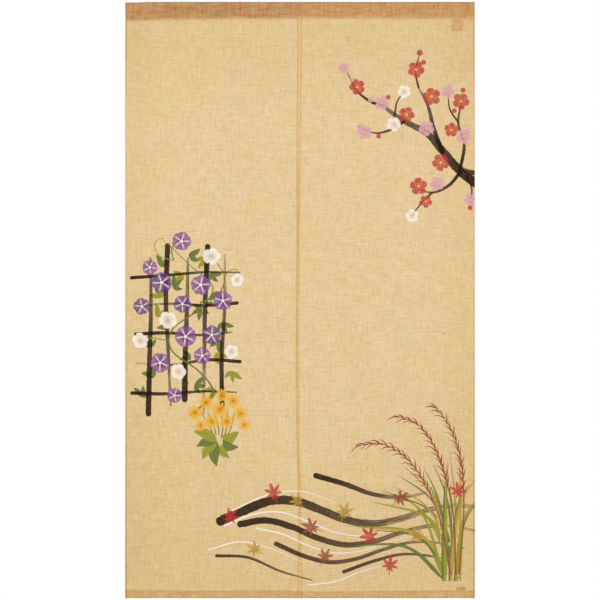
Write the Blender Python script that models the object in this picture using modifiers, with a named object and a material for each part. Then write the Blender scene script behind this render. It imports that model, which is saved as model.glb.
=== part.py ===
"""A two-panel noren of sheer hemp cloth, hanging nearly flat from its own rod pocket.

The origin is the middle of the top edge. +X runs to the right, +Z up, and the front faces -Y.
"Drop" is the distance below the top edge. All sizes are in metres.
"""

import math
from typing import NamedTuple

import bmesh
import bpy
import numpy as np

MM = 0.001

# Driving dimensions
DROP = 1.500  # top edge to hem fold
CLOTH = 1.0 * MM  # thickness of the cloth
GAP = 0.3 * MM  # clearance between neighbouring pieces
SEAM_X = -1.05 * MM  # where the two headings are joined, over the slit

# Rod pocket
TAIL = 8.0 * MM  # stitched strip under the pocket, where its two walls lie together
WALL_PITCH = 1.3 * MM  # between the middles of the two walls in that strip
FRONT_SWELL = 1.2 * MM  # how far the front wall stands forward at the pocket's middle
BACK_SWELL = 7.0 * MM  # how far the back wall stands back there
SWELL_VARIATION = 0.08  # the pocket is slacker in some places than in others
POCKET_SECTIONS = 9  # along the pocket
WALL_ROWS = 10  # up each wall
TURN_ROWS = 4  # round each fold

# Panels
HEM_PITCH = 1.6 * MM  # between the middles of the hem's two layers
PANEL_COLUMNS = 13
COLUMN_CROWDING = 1.6  # over 1 crowds the columns towards the slit
UPPER_ROWS = 28
LOWER_ROWS = 8
LOWER_FROM = 1.34  # drop below which the slit edge bends most, so the rows lie closer
HEM_ROWS = 3
FOLD_START = 0.45  # drop over which the folds grow to their full depth

# Lap of the slit edges: the right edge passes in front, the left one behind
LAP_STEP = 1.0 * MM
LAP_REACH = 40.0 * MM
LAP_OPENS = (0.20, 0.38)
LAP_CLOSES = (1.425, 1.478)

# Labels sewn in at the back of the right panel
CARE_LABEL_TOP = 39.3 * MM
CARE_LABEL_FOOT = 73.3 * MM
CARE_LABEL_LEFT = 382.4 * MM
CARE_LABEL_WIDTH = 28.6 * MM
CARE_LABEL_SKEW = 2.6 * MM  # the folded-up leaf lies this far to the left
CARE_LABEL_TURN_UP = 17.6 * MM
CARE_LABEL_ROWS = 6
HEM_LABEL_TOP = 1.471
HEM_LABEL_LEFT = 392.0 * MM
HEM_LABEL_WIDTH = 24.4 * MM

LABEL_COLUMNS = 4


class Edges(NamedTuple):
    """The cloth's side edges at one drop, in millimetres."""

    drop: float
    outer_left: float
    slit_left: float
    slit_right: float
    outer_right: float


EDGES = (
    Edges(0, -439.8, -1.0, -0.75, 439.8),
    Edges(46, -439.4, -0.9, -0.6, 439.6),
    Edges(100, -439.7, -0.9, -0.6, 439.4),
    Edges(196, -440.0, -1.6, -1.3, 439.8),
    Edges(297, -440.0, -3.3, -3.0, 440.0),
    Edges(398, -439.7, -3.4, -3.2, 439.9),
    Edges(478, -439.8, -3.6, -3.8, 439.8),
    Edges(549, -439.7, -3.0, -4.9, 439.8),
    Edges(637, -439.7, -3.3, -6.1, 440.0),
    Edges(800, -439.9, -4.0, -7.4, 440.0),
    Edges(900, -439.9, -4.6, -7.8, 440.0),
    Edges(1000, -439.8, -4.0, -6.8, 439.9),
    Edges(1100, -439.7, -2.5, -5.8, 440.0),
    Edges(1198, -439.7, 0.5, -2.9, 439.9),
    Edges(1290, -439.8, 2.0, -1.6, 440.0),
    Edges(1349, -440.0, 1.6, -1.2, 440.0),
    Edges(1376, -440.0, 0.3, -1.6, 440.0),
    Edges(1398, -440.0, -0.7, -1.1, 440.0),
    Edges(1417, -440.0, -1.2, -0.8, 440.0),
    Edges(1442, -439.9, -0.8, -0.45, 439.9),
    Edges(1464, -439.9, -0.7, -0.35, 439.9),
    Edges(1500, -439.7, -0.7, -0.35, 439.8),
)


class Turnings(NamedTuple):
    """How much cloth is turned over at one place across the noren, in millimetres."""

    x: float
    top_sag: float
    heading: float
    hem: float


TURNINGS = (
    Turnings(-440, 1.6, 46.8, 21.0),
    Turnings(-404, 1.2, 46.8, 20.8),
    Turnings(-380, 0.1, 45.8, 20.2),
    Turnings(-230, 0.0, 43.2, 19.0),
    Turnings(-70, 0.1, 41.9, 19.4),
    Turnings(0, 0.0, 41.6, 18.2),
    Turnings(60, 0.0, 41.6, 16.8),
    Turnings(240, 0.2, 41.8, 18.8),
    Turnings(370, 0.0, 42.0, 19.8),
    Turnings(440, 0.2, 44.0, 19.6),
)


class Fold(NamedTuple):
    """One soft upright trough (+) or ridge (-) in the cloth, in millimetres."""

    x: float
    half_width: float
    depth: float
    share_at_top: float
    share_at_foot: float


FOLDS = (
    Fold(-418, 38, -1.6, 0.3, 1.0),
    Fold(-330, 52, 2.4, 0.2, 1.0),
    Fold(-205, 60, -2.2, 1.0, 0.5),
    Fold(-96, 44, 1.8, 0.3, 1.0),
    Fold(64, 48, -1.9, 0.9, 0.6),
    Fold(168, 56, 2.3, 0.2, 1.0),
    Fold(290, 58, -2.4, 0.6, 1.0),
    Fold(398, 42, 1.7, 1.0, 0.7),
)


class Finish(NamedTuple):
    """A Principled finish: its colour in linear light, and its roughness."""

    name: str
    colour: tuple
    roughness: float


HEMP = Finish("hemp_cloth", (0.76, 0.56, 0.30), 0.85)
DOUBLED_HEMP = Finish("doubled_hemp_cloth", (0.54, 0.31, 0.13), 0.88)
LABEL = Finish("label_cloth", (0.52, 0.40, 0.26), 0.80)


def through(rows, at_column, column, at):
    """A column of a table as a smooth curve: cubic pieces that never swing past a row's value."""
    places = np.array([getattr(row, at_column) for row in rows], float) * MM
    values = np.array([getattr(row, column) for row in rows], float) * MM
    steps = np.diff(values) / np.diff(places)
    before, after = steps[:-1], steps[1:]
    level = before * after <= 0
    slopes = np.zeros_like(values)
    slopes[1:-1] = np.where(level, 0, 2 * before * after / np.where(level, 1, before + after))
    at = np.clip(at, places[0], places[-1])
    low = np.clip(np.searchsorted(places, at, side="right") - 1, 0, len(places) - 2)
    span = places[low + 1] - places[low]
    s = (at - places[low]) / span
    return (
        values[low] * (2 * s**3 - 3 * s**2 + 1)
        + slopes[low] * span * (s**3 - 2 * s**2 + s)
        + values[low + 1] * (3 * s**2 - 2 * s**3)
        + slopes[low + 1] * span * (s**3 - s**2)
    )


def edge(column, drop):
    return through(EDGES, "drop", column, drop)


def turning(column, x):
    return through(TURNINGS, "x", column, x)


def eased(start, end, at):
    """0 before start, 1 after end, and a smooth step between."""
    s = np.clip((at - start) / (end - start), 0.0, 1.0)
    return s * s * (3 - 2 * s)


def fold_depth(x, drop):
    """How far the folds put the cloth behind the heading's plane, from nothing at its lower edge."""
    down = np.clip(drop / DROP, 0.0, 1.0)
    depth = np.zeros(np.broadcast(x, drop).shape)
    for fold in FOLDS:
        share = fold.share_at_top + (fold.share_at_foot - fold.share_at_top) * down
        from_middle = (x - fold.x * MM) / (fold.half_width * MM)
        depth += fold.depth * MM * share * np.exp(-(from_middle**2))
    return depth * eased(turning("heading", x), FOLD_START, drop)


def lap_depth(side, x, drop):
    """The step out of plane where the slit edges lap: back on the left, forward on the right."""
    from_slit = (x - edge(f"slit_{side}", drop)) / LAP_REACH
    lapped = eased(*LAP_OPENS, drop) * (1 - eased(*LAP_CLOSES, drop))
    return (LAP_STEP if side == "left" else -LAP_STEP) * lapped * np.exp(-(from_slit**2))


def turned_up(front, foot, pitch, rise, turn_rows, back_rows):
    """The path of a strip that hangs down to a fold at foot and turns up at the back by rise.

    front holds the drops of the hanging part. Returns the drop and the distance behind the front
    layer, with a row for each step down the path and a column for each step across the strip.
    """
    radius = pitch / 2
    centre = foot - CLOTH / 2 - radius
    angle = np.linspace(0, math.pi, turn_rows + 1)[:, None] + 0 * rise
    share = np.linspace(0, 1, back_rows + 1)[1:, None]
    turned = centre + radius * np.sin(angle)
    drop = np.vstack([front[:-1], turned, centre - share * (rise - foot + centre)])
    back = np.vstack([0 * front[:-1], radius * (1 - np.cos(angle)), pitch + 0 * share * rise])
    return drop, back


def finish_material(finish):
    material = bpy.data.materials.get(finish.name)
    if material is None:
        material = bpy.data.materials.new(finish.name)
        material.use_nodes = True
        shader = material.node_tree.nodes["Principled BSDF"]
        shader.inputs["Base Color"].default_value = (*finish.colour, 1)
        shader.inputs["Roughness"].default_value = finish.roughness
        shader.inputs["Metallic"].default_value = 0
        material.diffuse_color = (*finish.colour, 1)
    return material


def cloth_piece(name, points, finish, home, ring=False):
    """A solid piece of cloth on a grid of points (rows x columns x 3), closed if it is a ring."""
    rows, columns = points.shape[:2]
    grid = bmesh.new()
    bmesh.ops.create_grid(grid, x_segments=columns - 1, y_segments=rows - 1, size=0.5)
    for vertex in grid.verts:
        column = round((vertex.co.x + 0.5) * (columns - 1))
        row = round((vertex.co.y + 0.5) * (rows - 1))
        vertex.co = points[row, column]
    if ring:
        bmesh.ops.remove_doubles(grid, verts=grid.verts, dist=0.02 * MM)
    mesh = bpy.data.meshes.new(name)
    grid.to_mesh(mesh)
    grid.free()
    mesh.shade_smooth()
    mesh.materials.append(finish_material(finish))
    piece = bpy.data.objects.new(name, mesh)
    home.objects.link(piece)
    solid = piece.modifiers.new("cloth_thickness", "SOLIDIFY")
    solid.thickness = CLOTH
    solid.offset = 0
    solid.use_even_offset = True
    return piece


def panel(side, home):
    """One length of cloth, from under the heading to the hem fold and up behind it."""
    share = 1 - (1 - np.linspace(0, 1, PANEL_COLUMNS + 1)) ** COLUMN_CROWDING
    x_guide = np.linspace(edge(f"outer_{side}", 0.0), SEAM_X, PANEL_COLUMNS + 1)
    x_guide = x_guide[0] + (x_guide[-1] - x_guide[0]) * share
    top = turning("heading", x_guide) + GAP
    centre = DROP - CLOTH / 2 - HEM_PITCH / 2
    upper = top + np.linspace(0, 1, UPPER_ROWS + 1)[:-1, None] * (LOWER_FROM - top)
    lower = np.linspace(LOWER_FROM, centre, LOWER_ROWS + 1)[:, None] + 0 * top
    front = np.vstack([upper, lower])
    drop, back = turned_up(front, DROP, HEM_PITCH, turning("hem", x_guide), 2 * HEM_ROWS, HEM_ROWS)
    outer = edge(f"outer_{side}", drop)
    x = outer + (edge(f"slit_{side}", drop) - outer) * share
    y = fold_depth(x, drop) + lap_depth(side, x, drop) + back
    return cloth_piece(f"{side}_panel", np.dstack([x, y, -drop]), HEMP, home)


def heading(side, home):
    """One half of the rod pocket: a flattened tube of cloth, open at both ends.

    Its section runs up the front wall, over the top fold and down the back wall to the lower fold.
    Each wall lies flat over the stitched tail and swells above it as half a sine wave.
    """
    seam = SEAM_X + (-GAP / 2 if side == "left" else GAP / 2)
    along = np.linspace(0, 1, POCKET_SECTIONS + 1)
    x_guide = edge(f"outer_{side}", 0.0) * (1 - along) + seam * along
    radius = WALL_PITCH / 2
    upper = turning("top_sag", x_guide) + CLOTH / 2 + radius
    lower = turning("heading", x_guide) - CLOTH / 2 - radius
    up = np.linspace(0, 1, WALL_ROWS + 1)[:, None]
    wall_drop = lower + (upper - lower) * up
    above_tail = np.clip((lower - TAIL - wall_drop) / (lower - TAIL - upper), 0, 1)
    slack = 1 + SWELL_VARIATION * np.sin(x_guide / (70 * MM))
    swell = slack * np.sin(math.pi * above_tail)
    angle = np.linspace(0, math.pi, TURN_ROWS + 1)[1:-1, None] + 0 * x_guide
    across, beyond = radius * (1 - np.cos(angle)), radius * np.sin(angle)
    front_wall, back_wall = -FRONT_SWELL * swell, WALL_PITCH + BACK_SWELL * swell[::-1]
    drop = np.vstack([wall_drop, upper - beyond, wall_drop[::-1], lower + beyond])
    y = np.vstack([front_wall, across, back_wall, WALL_PITCH - across])
    drop, y = np.vstack([drop, drop[:1]]), np.vstack([y, y[:1]])
    outer = edge(f"outer_{side}", drop)
    x = outer + (seam - outer) * along
    return cloth_piece(f"{side}_heading", np.dstack([x, y, -drop]), DOUBLED_HEMP, home, ring=True)


def care_label(home):
    """A narrow tape sewn in under the heading at the back, its free end folded up behind it."""
    share = np.linspace(0, 1, LABEL_COLUMNS + 1)
    rise = CARE_LABEL_TURN_UP + 0 * share
    centre = CARE_LABEL_FOOT - CLOTH / 2 - WALL_PITCH / 2
    front = np.linspace(CARE_LABEL_TOP, centre, CARE_LABEL_ROWS + 1)[:, None] + 0 * share
    drop, back = turned_up(front, CARE_LABEL_FOOT, WALL_PITCH, rise, TURN_ROWS, HEM_ROWS)
    x = CARE_LABEL_LEFT + CARE_LABEL_WIDTH * share - CARE_LABEL_SKEW * back / WALL_PITCH
    y = WALL_PITCH + CLOTH + GAP + back
    return cloth_piece("care_label", np.dstack([x, y, -drop]), LABEL, home)


def hem_label(home):
    """A short tape that stands on the hem's upper edge, against the back of the right panel."""
    x = HEM_LABEL_LEFT + HEM_LABEL_WIDTH * np.linspace(0, 1, LABEL_COLUMNS + 1)
    foot = DROP - turning("hem", x) - GAP
    drop = HEM_LABEL_TOP + (foot - HEM_LABEL_TOP) * np.linspace(0, 1, 3)[:, None]
    y = fold_depth(x, drop) + CLOTH + GAP
    return cloth_piece("hem_label", np.dstack([x + 0 * drop, y, -drop]), LABEL, home)


def main():
    for leftover in list(bpy.data.objects):
        bpy.data.objects.remove(leftover)
    home = bpy.data.collections.new("noren")
    bpy.context.scene.collection.children.link(home)
    for side in ("left", "right"):
        panel(side, home)
        heading(side, home)
    care_label(home)
    hem_label(home)


main()
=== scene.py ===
"""The looks of a noren: a door curtain of two lengths of sheer hemp cloth, painted by hand.

Each piece is a numpy surface laid on the shape in which the cloth hangs, in the row frame: the origin
is the middle of the top edge, +X runs to the right, +Z up, and the front faces -Y. "Drop" is the
distance below the top edge, and all sizes are in metres.
"""

from __future__ import annotations

import logging
import math
from dataclasses import dataclass
from enum import Enum
from functools import partial
from typing import Callable, NamedTuple, Sequence

import bpy
import numpy as np
from numpy.typing import NDArray
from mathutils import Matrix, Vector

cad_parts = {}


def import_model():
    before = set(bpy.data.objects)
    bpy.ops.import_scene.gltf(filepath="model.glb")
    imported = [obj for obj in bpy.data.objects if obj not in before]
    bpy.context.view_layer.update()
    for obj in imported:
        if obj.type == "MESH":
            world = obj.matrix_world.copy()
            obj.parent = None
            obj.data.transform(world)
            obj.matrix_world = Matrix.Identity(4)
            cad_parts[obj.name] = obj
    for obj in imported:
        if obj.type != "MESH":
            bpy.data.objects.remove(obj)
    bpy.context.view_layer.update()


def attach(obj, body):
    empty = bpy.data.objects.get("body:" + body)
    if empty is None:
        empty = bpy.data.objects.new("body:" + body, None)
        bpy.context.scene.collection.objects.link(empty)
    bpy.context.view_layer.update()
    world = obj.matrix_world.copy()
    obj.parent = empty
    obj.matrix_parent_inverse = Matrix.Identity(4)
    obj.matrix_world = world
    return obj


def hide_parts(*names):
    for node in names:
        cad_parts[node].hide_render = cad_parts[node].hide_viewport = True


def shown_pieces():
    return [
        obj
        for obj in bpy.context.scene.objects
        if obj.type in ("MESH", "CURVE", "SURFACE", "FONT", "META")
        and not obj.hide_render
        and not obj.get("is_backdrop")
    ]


MM = 0.001
BODY = "root"
SHARP_ANGLE = math.radians(55)

Array = NDArray[np.float64]
Numbers = NDArray[np.int64]
Places = tuple[tuple[float, float], ...]
Colour = tuple[float, float, float, float]
Given = float | tuple[float, ...]
Socket = bpy.types.NodeSocket
Tree = bpy.types.NodeTree
Put = Callable[..., Socket]

log = logging.getLogger("noren")


class Side(Enum):
    """The two lengths of cloth, as seen from the front."""

    LEFT = "left"
    RIGHT = "right"

    @property
    def way(self) -> int:
        """The direction along x from the slit to the outer edge."""
        return 1 if self is Side.RIGHT else -1


class Seam(Enum):
    """The two sewn edges: the heading's lower one and the hem's upper one."""

    HEADING = "heading"
    HEM = "hem"


class EdgeRow(NamedTuple):
    """The cloth's side edges at one drop, in millimetres."""

    drop: float
    outer_left: float
    slit_left: float
    slit_right: float
    outer_right: float


EDGES = tuple(
    EdgeRow(*row)
    for row in (
        (0, -439.8, -1.0, -0.75, 439.8), (46, -439.4, -0.9, -0.6, 439.6), (100, -439.7, -0.9, -0.6, 439.4),
        (196, -440.0, -1.6, -1.3, 439.8), (297, -440.0, -3.3, -3.0, 440.0), (398, -439.7, -3.4, -3.2, 439.9),
        (478, -439.8, -3.6, -3.8, 439.8), (549, -439.7, -3.0, -4.9, 439.8), (637, -439.7, -3.3, -6.1, 440.0),
        (800, -439.9, -4.0, -7.4, 440.0), (900, -439.9, -4.6, -7.8, 440.0), (1000, -439.8, -4.0, -6.8, 439.9),
        (1100, -439.7, -2.5, -5.8, 440.0), (1198, -439.7, 0.5, -2.9, 439.9), (1290, -439.8, 2.0, -1.6, 440.0),
        (1349, -440.0, 1.6, -1.2, 440.0), (1376, -440.0, 0.3, -1.6, 440.0), (1398, -440.0, -0.7, -1.1, 440.0),
        (1417, -440.0, -1.2, -0.8, 440.0), (1442, -439.9, -0.8, -0.45, 439.9),
        (1464, -439.9, -0.7, -0.35, 439.9), (1500, -439.7, -0.7, -0.35, 439.8),
    )
)  # fmt: skip


class TurningRow(NamedTuple):
    """How much cloth is turned over at one place across the noren, in millimetres."""

    x: float
    top_sag: float
    heading: float
    hem: float


TURNINGS = tuple(
    TurningRow(*row)
    for row in (
        (-440, 1.6, 46.8, 21.0), (-404, 1.2, 46.8, 20.8), (-380, 0.1, 45.8, 20.2), (-230, 0.0, 43.2, 19.0),
        (-70, 0.1, 41.9, 19.4), (0, 0.0, 41.6, 18.2), (60, 0.0, 41.6, 16.8), (240, 0.2, 41.8, 18.8),
        (370, 0.0, 42.0, 19.8), (440, 0.2, 44.0, 19.6),
    )
)  # fmt: skip


class Fold(NamedTuple):
    """One soft upright trough (+) or ridge (-) over the whole drop, in millimetres."""

    x: float
    half_width: float
    depth: float
    share_at_top: float
    share_at_foot: float


FOLDS = tuple(
    Fold(*row)
    for row in (
        (-418, 38, -1.6, 0.3, 1.0), (-330, 52, 2.4, 0.2, 1.0), (-205, 60, -2.2, 1.0, 0.5),
        (-96, 44, 1.8, 0.3, 1.0), (64, 48, -1.9, 0.9, 0.6), (168, 56, 2.3, 0.2, 1.0),
        (290, 58, -2.4, 0.6, 1.0), (398, 42, 1.7, 1.0, 0.7),
    )
)  # fmt: skip


class Crease(NamedTuple):
    """A short soft trough (+) or ridge (-) along a line between two places, in millimetres."""

    x: float
    drop: float
    to_x: float
    to_drop: float
    half_width: float
    depth: float


CREASES = tuple(
    Crease(*row)
    for row in (
        (-436, 60, -372, 205, 9, 0.7), (-400, 52, -352, 128, 7, -0.5), (-262, 48, -268, 150, 10, 0.5),
        (-150, 50, -141, 118, 8, -0.4), (-30, 48, -22, 260, 9, 0.6), (24, 46, 19, 210, 8, -0.5),
        (118, 48, 126, 132, 9, 0.4), (236, 48, 229, 160, 11, 0.5), (362, 76, 392, 190, 9, -0.6),
        (436, 58, 401, 170, 8, 0.6), (-436, 1440, -330, 1476, 10, 0.7), (-300, 1478, -206, 1452, 12, -0.6),
        (-90, 1476, -24, 1420, 10, 0.6), (16, 1400, 62, 1474, 9, -0.6), (150, 1476, 236, 1458, 12, 0.6),
        (330, 1470, 436, 1430, 11, -0.7), (-12, 560, -34, 900, 12, 0.8), (9, 640, 30, 1010, 12, -0.8),
        (-438, 720, -424, 960, 9, -0.7), (438, 610, 426, 830, 9, 0.7), (-437, 1130, -420, 1290, 8, 0.6),
        (438, 1080, 423, 1260, 8, -0.6),
    )
)  # fmt: skip


def through(rows: Sequence[NamedTuple], column: str, at: Array) -> Array:
    """A column of a table as a smooth curve: cubic pieces that never swing past a row's value.

    The slope at an inner row is the harmonic mean of the slopes on its two sides, or level where they
    change sign, and each stretch is the cubic with its rows' values and slopes at its ends.

    Args:
        rows: The table, with the places in its first column.
        column: The column with the values.
        at: Where the curve is read, in metres.

    Returns:
        The values there, in metres.
    """
    places = np.array([row[0] for row in rows], float) * MM
    values = np.array([getattr(row, column) for row in rows], float) * MM
    steps = np.diff(values) / np.diff(places)
    before, after = steps[:-1], steps[1:]
    level = before * after <= 0
    slopes = np.zeros_like(values)
    slopes[1:-1] = np.where(level, 0, 2 * before * after / np.where(level, 1, before + after))
    at = np.clip(at, places[0], places[-1])
    low = np.clip(np.searchsorted(places, at, side="right") - 1, 0, len(places) - 2)
    span = places[low + 1] - places[low]
    s = (at - places[low]) / span
    return (
        values[low] * (2 * s**3 - 3 * s**2 + 1)
        + slopes[low] * span * (s**3 - 2 * s**2 + s)
        + values[low + 1] * (3 * s**2 - 2 * s**3)
        + slopes[low + 1] * span * (s**3 - s**2)
    )


def eased(start: float | Array, end: float | Array, at: Array) -> Array:
    """A smooth step from 0 at start to 1 at end: 3s^2 - 2s^3 of the share s between them."""
    s = np.clip((at - start) / (end - start), 0.0, 1.0)
    return s * s * (3 - 2 * s)


@dataclass(frozen=True)
class Hang:
    """The shape in which the noren hangs, which all its pieces share.

    Its methods take places across and their drops, and the depths they return are behind the plane of
    the heading.
    """

    drop: float = 1.500
    seam_x: float = -1.05 * MM
    seam_gap: float = 0.04 * MM
    fold_start: float = 0.45
    lap_step: float = 1.0 * MM
    lap_reach: float = 40.0 * MM
    lap_opens: tuple[float, float] = (0.20, 0.38)
    lap_closes: tuple[float, float] = (1.425, 1.478)
    pucker_pitch: float = 19.0 * MM
    pucker_depth: float = 0.28 * MM
    pucker_reach: float = 26.0 * MM
    second_share: float = 0.6
    second_finer: float = 1.618  # a ratio with which the two waves of puckers never repeat
    second_phase: float = 1.0

    def outer(self, side: Side, drop: Array | float) -> Array:
        """Where a length's outer edge is at each drop."""
        return through(EDGES, f"outer_{side.value}", drop)

    def slit(self, side: Side, drop: Array | float) -> Array:
        """Where a length's slit edge is at each drop."""
        return through(EDGES, f"slit_{side.value}", drop)

    def sag(self, x: Array) -> Array:
        """How far the top edge sags at each place across."""
        return through(TURNINGS, "top_sag", x)

    def heading(self, x: Array) -> Array:
        """The drop of the heading's lower edge at each place across."""
        return through(TURNINGS, "heading", x)

    def hem(self, x: Array) -> Array:
        """The drop of the hem's upper edge at each place across."""
        return self.drop - through(TURNINGS, "hem", x)

    def folds(self, x: Array, drop: Array) -> Array:
        """The upright folds: a bell curve across for each, whose depth changes evenly down the cloth.

        All of them grow from nothing at the heading's lower edge, as a smooth step.

        Args:
            x: Places across.
            drop: Their drops.

        Returns:
            The folds' depth there.
        """
        down = np.clip(drop / self.drop, 0.0, 1.0)
        depth = np.zeros(np.broadcast(x, drop).shape)
        for fold in FOLDS:
            share = fold.share_at_top + (fold.share_at_foot - fold.share_at_top) * down
            depth += fold.depth * MM * share * np.exp(-(((x - fold.x * MM) / (fold.half_width * MM)) ** 2))
        return depth * eased(self.heading(x), self.fold_start, drop)

    def creases(self, x: Array, drop: Array) -> Array:
        """The short creases: a bell curve across each line, faded out towards the line's two ends.

        Args:
            x: Places across.
            drop: Their drops.

        Returns:
            The creases' depth there.
        """
        depth = np.zeros(np.broadcast(x, drop).shape)
        for crease in CREASES:
            run_x, run_drop = (crease.to_x - crease.x) * MM, (crease.to_drop - crease.drop) * MM
            long = math.hypot(run_x, run_drop)
            from_x, from_drop = x - crease.x * MM, drop - crease.drop * MM
            along = (from_x * run_x + from_drop * run_drop) / long**2
            across = (from_x * run_drop - from_drop * run_x) / long / (crease.half_width * MM)
            depth += crease.depth * MM * np.sin(math.pi * np.clip(along, 0, 1)) ** 2 * np.exp(-(across**2))
        return depth

    def puckers(self, x: Array, drop: Array) -> Array:
        """The gathers that sewing draws up: two sine waves across, dying away from each sewn edge.

        Args:
            x: Places across.
            drop: Their drops.

        Returns:
            The gathers' depth there.
        """
        turn = 2 * math.pi * x / self.pucker_pitch
        wave = np.sin(turn) + self.second_share * np.sin(self.second_finer * turn + self.second_phase)
        from_edges = (np.abs(drop - edge) for edge in (self.heading(x), self.hem(x)))
        return self.pucker_depth * wave * sum(np.exp(-each / self.pucker_reach) for each in from_edges)

    def lap(self, side: Side, x: Array, drop: Array) -> Array:
        """The step of a slit edge where the two lap, the left one back and the right one forward.

        It is a bell curve from the edge inward.

        Args:
            side: The length of cloth.
            x: Places across.
            drop: Their drops.

        Returns:
            The step's depth there.
        """
        from_slit = (x - self.slit(side, drop)) / self.lap_reach
        lapped = eased(*self.lap_opens, drop) * (1 - eased(*self.lap_closes, drop))
        return -side.way * self.lap_step * lapped * np.exp(-(from_slit**2))

    def depth(self, side: Side, x: Array, drop: Array) -> Array:
        """How far one length of cloth stands behind the heading's plane, all told."""
        return self.folds(x, drop) + self.creases(x, drop) + self.puckers(x, drop) + self.lap(side, x, drop)


def mesh_object(name: str, vertices: Array, faces: Numbers) -> bpy.types.Object:
    """An object at the origin with one mesh, smooth but for its sharp edges.

    Args:
        name: The piece's name.
        vertices: One row of x, y, z for each vertex.
        faces: One row of vertex numbers for each face, all with the same number of corners.

    Returns:
        The object, in the scene's collection.
    """
    mesh = bpy.data.meshes.new(name)
    mesh.vertices.add(len(vertices))
    mesh.vertices.foreach_set("co", np.ascontiguousarray(vertices, np.float32).ravel())
    mesh.loops.add(faces.size)
    mesh.loops.foreach_set("vertex_index", np.ascontiguousarray(faces, np.int32).ravel())
    mesh.polygons.add(len(faces))
    mesh.polygons.foreach_set("loop_start", np.arange(0, faces.size, faces.shape[1], dtype=np.int32))
    mesh.update(calc_edges=True)
    mesh.validate()
    mesh.shade_smooth()
    mesh.set_sharp_from_angle(angle=SHARP_ANGLE)
    piece = bpy.data.objects.new(name, mesh)
    bpy.context.scene.collection.objects.link(piece)
    return piece


def grid_faces(rows: int, columns: int) -> Numbers:
    """The quads of a grid of numbered points, which face along its step down crossed with its step across.

    Args:
        rows: How many rows of points the grid has.
        columns: How many points a row has.

    Returns:
        One row of four point numbers for each quad.
    """
    number = np.arange(rows * columns).reshape(rows, columns)
    corners = [number[:-1, :-1], number[1:, :-1], number[1:, 1:], number[:-1, 1:]]
    return np.stack(corners, axis=-1).reshape(-1, 4)


@dataclass
class Sheet:
    """A thin closed sheet on a grid of middle points, whose columns run to the right seen from outside."""

    name: str
    middle: Array
    thickness: float

    def __post_init__(self) -> None:
        """Builds the outer grid, the inner one turned round, and a rim that closes them.

        The outward direction at a point is the cross product of the steps down and across, and the two
        grids lie half the thickness out from the middle points and in from them.
        """
        rows, columns = self.middle.shape[:2]
        self.quads = grid_faces(rows, columns)
        number = np.arange(rows * columns).reshape(rows, columns)
        loop = np.concatenate([number[:-1, 0], number[-1, :-1], number[:0:-1, -1], number[0, :0:-1]])
        onward = np.roll(loop, -1)
        rim = np.stack([onward, loop, loop + number.size, onward + number.size], axis=-1)
        self.faces = np.vstack([self.quads, self.quads[:, ::-1] + number.size, rim])
        normal = np.cross(np.gradient(self.middle, axis=0), np.gradient(self.middle, axis=1))
        step = normal / np.linalg.norm(normal, axis=-1, keepdims=True) * self.thickness / 2
        both = np.concatenate([(self.middle + step).reshape(-1, 3), (self.middle - step).reshape(-1, 3)])
        self.piece = mesh_object(self.name, both, self.faces)
        self.store("behind", "FLOAT", "POINT", "value", np.repeat([0.0, 1.0], number.size))

    def store(self, name: str, kind: str, domain: str, part: str, values: Array) -> None:
        """Puts an array into the mesh as an attribute."""
        attribute = self.piece.data.attributes.new(name, kind, domain)
        attribute.data.foreach_set(part, np.ascontiguousarray(values, np.float32).ravel())

    def measure(self, name: str, *columns: Array) -> None:
        """Keeps three numbers for each grid point as an attribute that a material can read."""
        grid = np.dstack([np.broadcast_to(column, self.middle.shape[:2]) for column in columns])
        self.store(name, "FLOAT_VECTOR", "POINT", "vector", np.tile(grid.reshape(-1, 3), (2, 1)))

    def unroll(self, across: Array, along: Array) -> None:
        """Gives the cloth its own flat coordinates as a UV map in metres, which the weave follows.

        Args:
            across: Distance across the cloth at each grid point.
            along: Distance along it.
        """
        flat = np.dstack([np.broadcast_to(part, self.middle.shape[:2]) for part in (across, along)])
        corners = np.tile(flat.reshape(-1, 2), (2, 1))[self.faces.ravel()]
        layer = self.piece.data.uv_layers.new(name="Cloth")
        layer.uv.foreach_set("vector", np.ascontiguousarray(corners, np.float32).ravel())

    def run_length(self) -> Array:
        """The distance along each column of the grid, from its first row, summed step by step."""
        steps = np.linalg.norm(np.diff(self.middle, axis=0), axis=-1)
        return np.vstack([np.zeros(steps.shape[1]), np.cumsum(steps, axis=0)])


def shares(steps: int, start: int = 0, stop: int | None = None) -> Array:
    """Even shares from 0 to 1 as a column, without those before start or from stop on."""
    return np.linspace(0, 1, steps + 1)[start:stop, None]


def section(columns: int, *stretches: tuple[Array, Array | float]) -> tuple[Array, Array]:
    """Joins the stretches of the path that a cloth takes down its length.

    Args:
        columns: How many columns the cloth has.
        stretches: For each one, the drop and the distance back at each step.

    Returns:
        A grid of drops and a grid of distances back.
    """
    full = [np.broadcast_arrays(drop, back, np.zeros(columns))[:2] for drop, back in stretches]
    return np.vstack([drop for drop, _ in full]), np.vstack([back for _, back in full])


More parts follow.
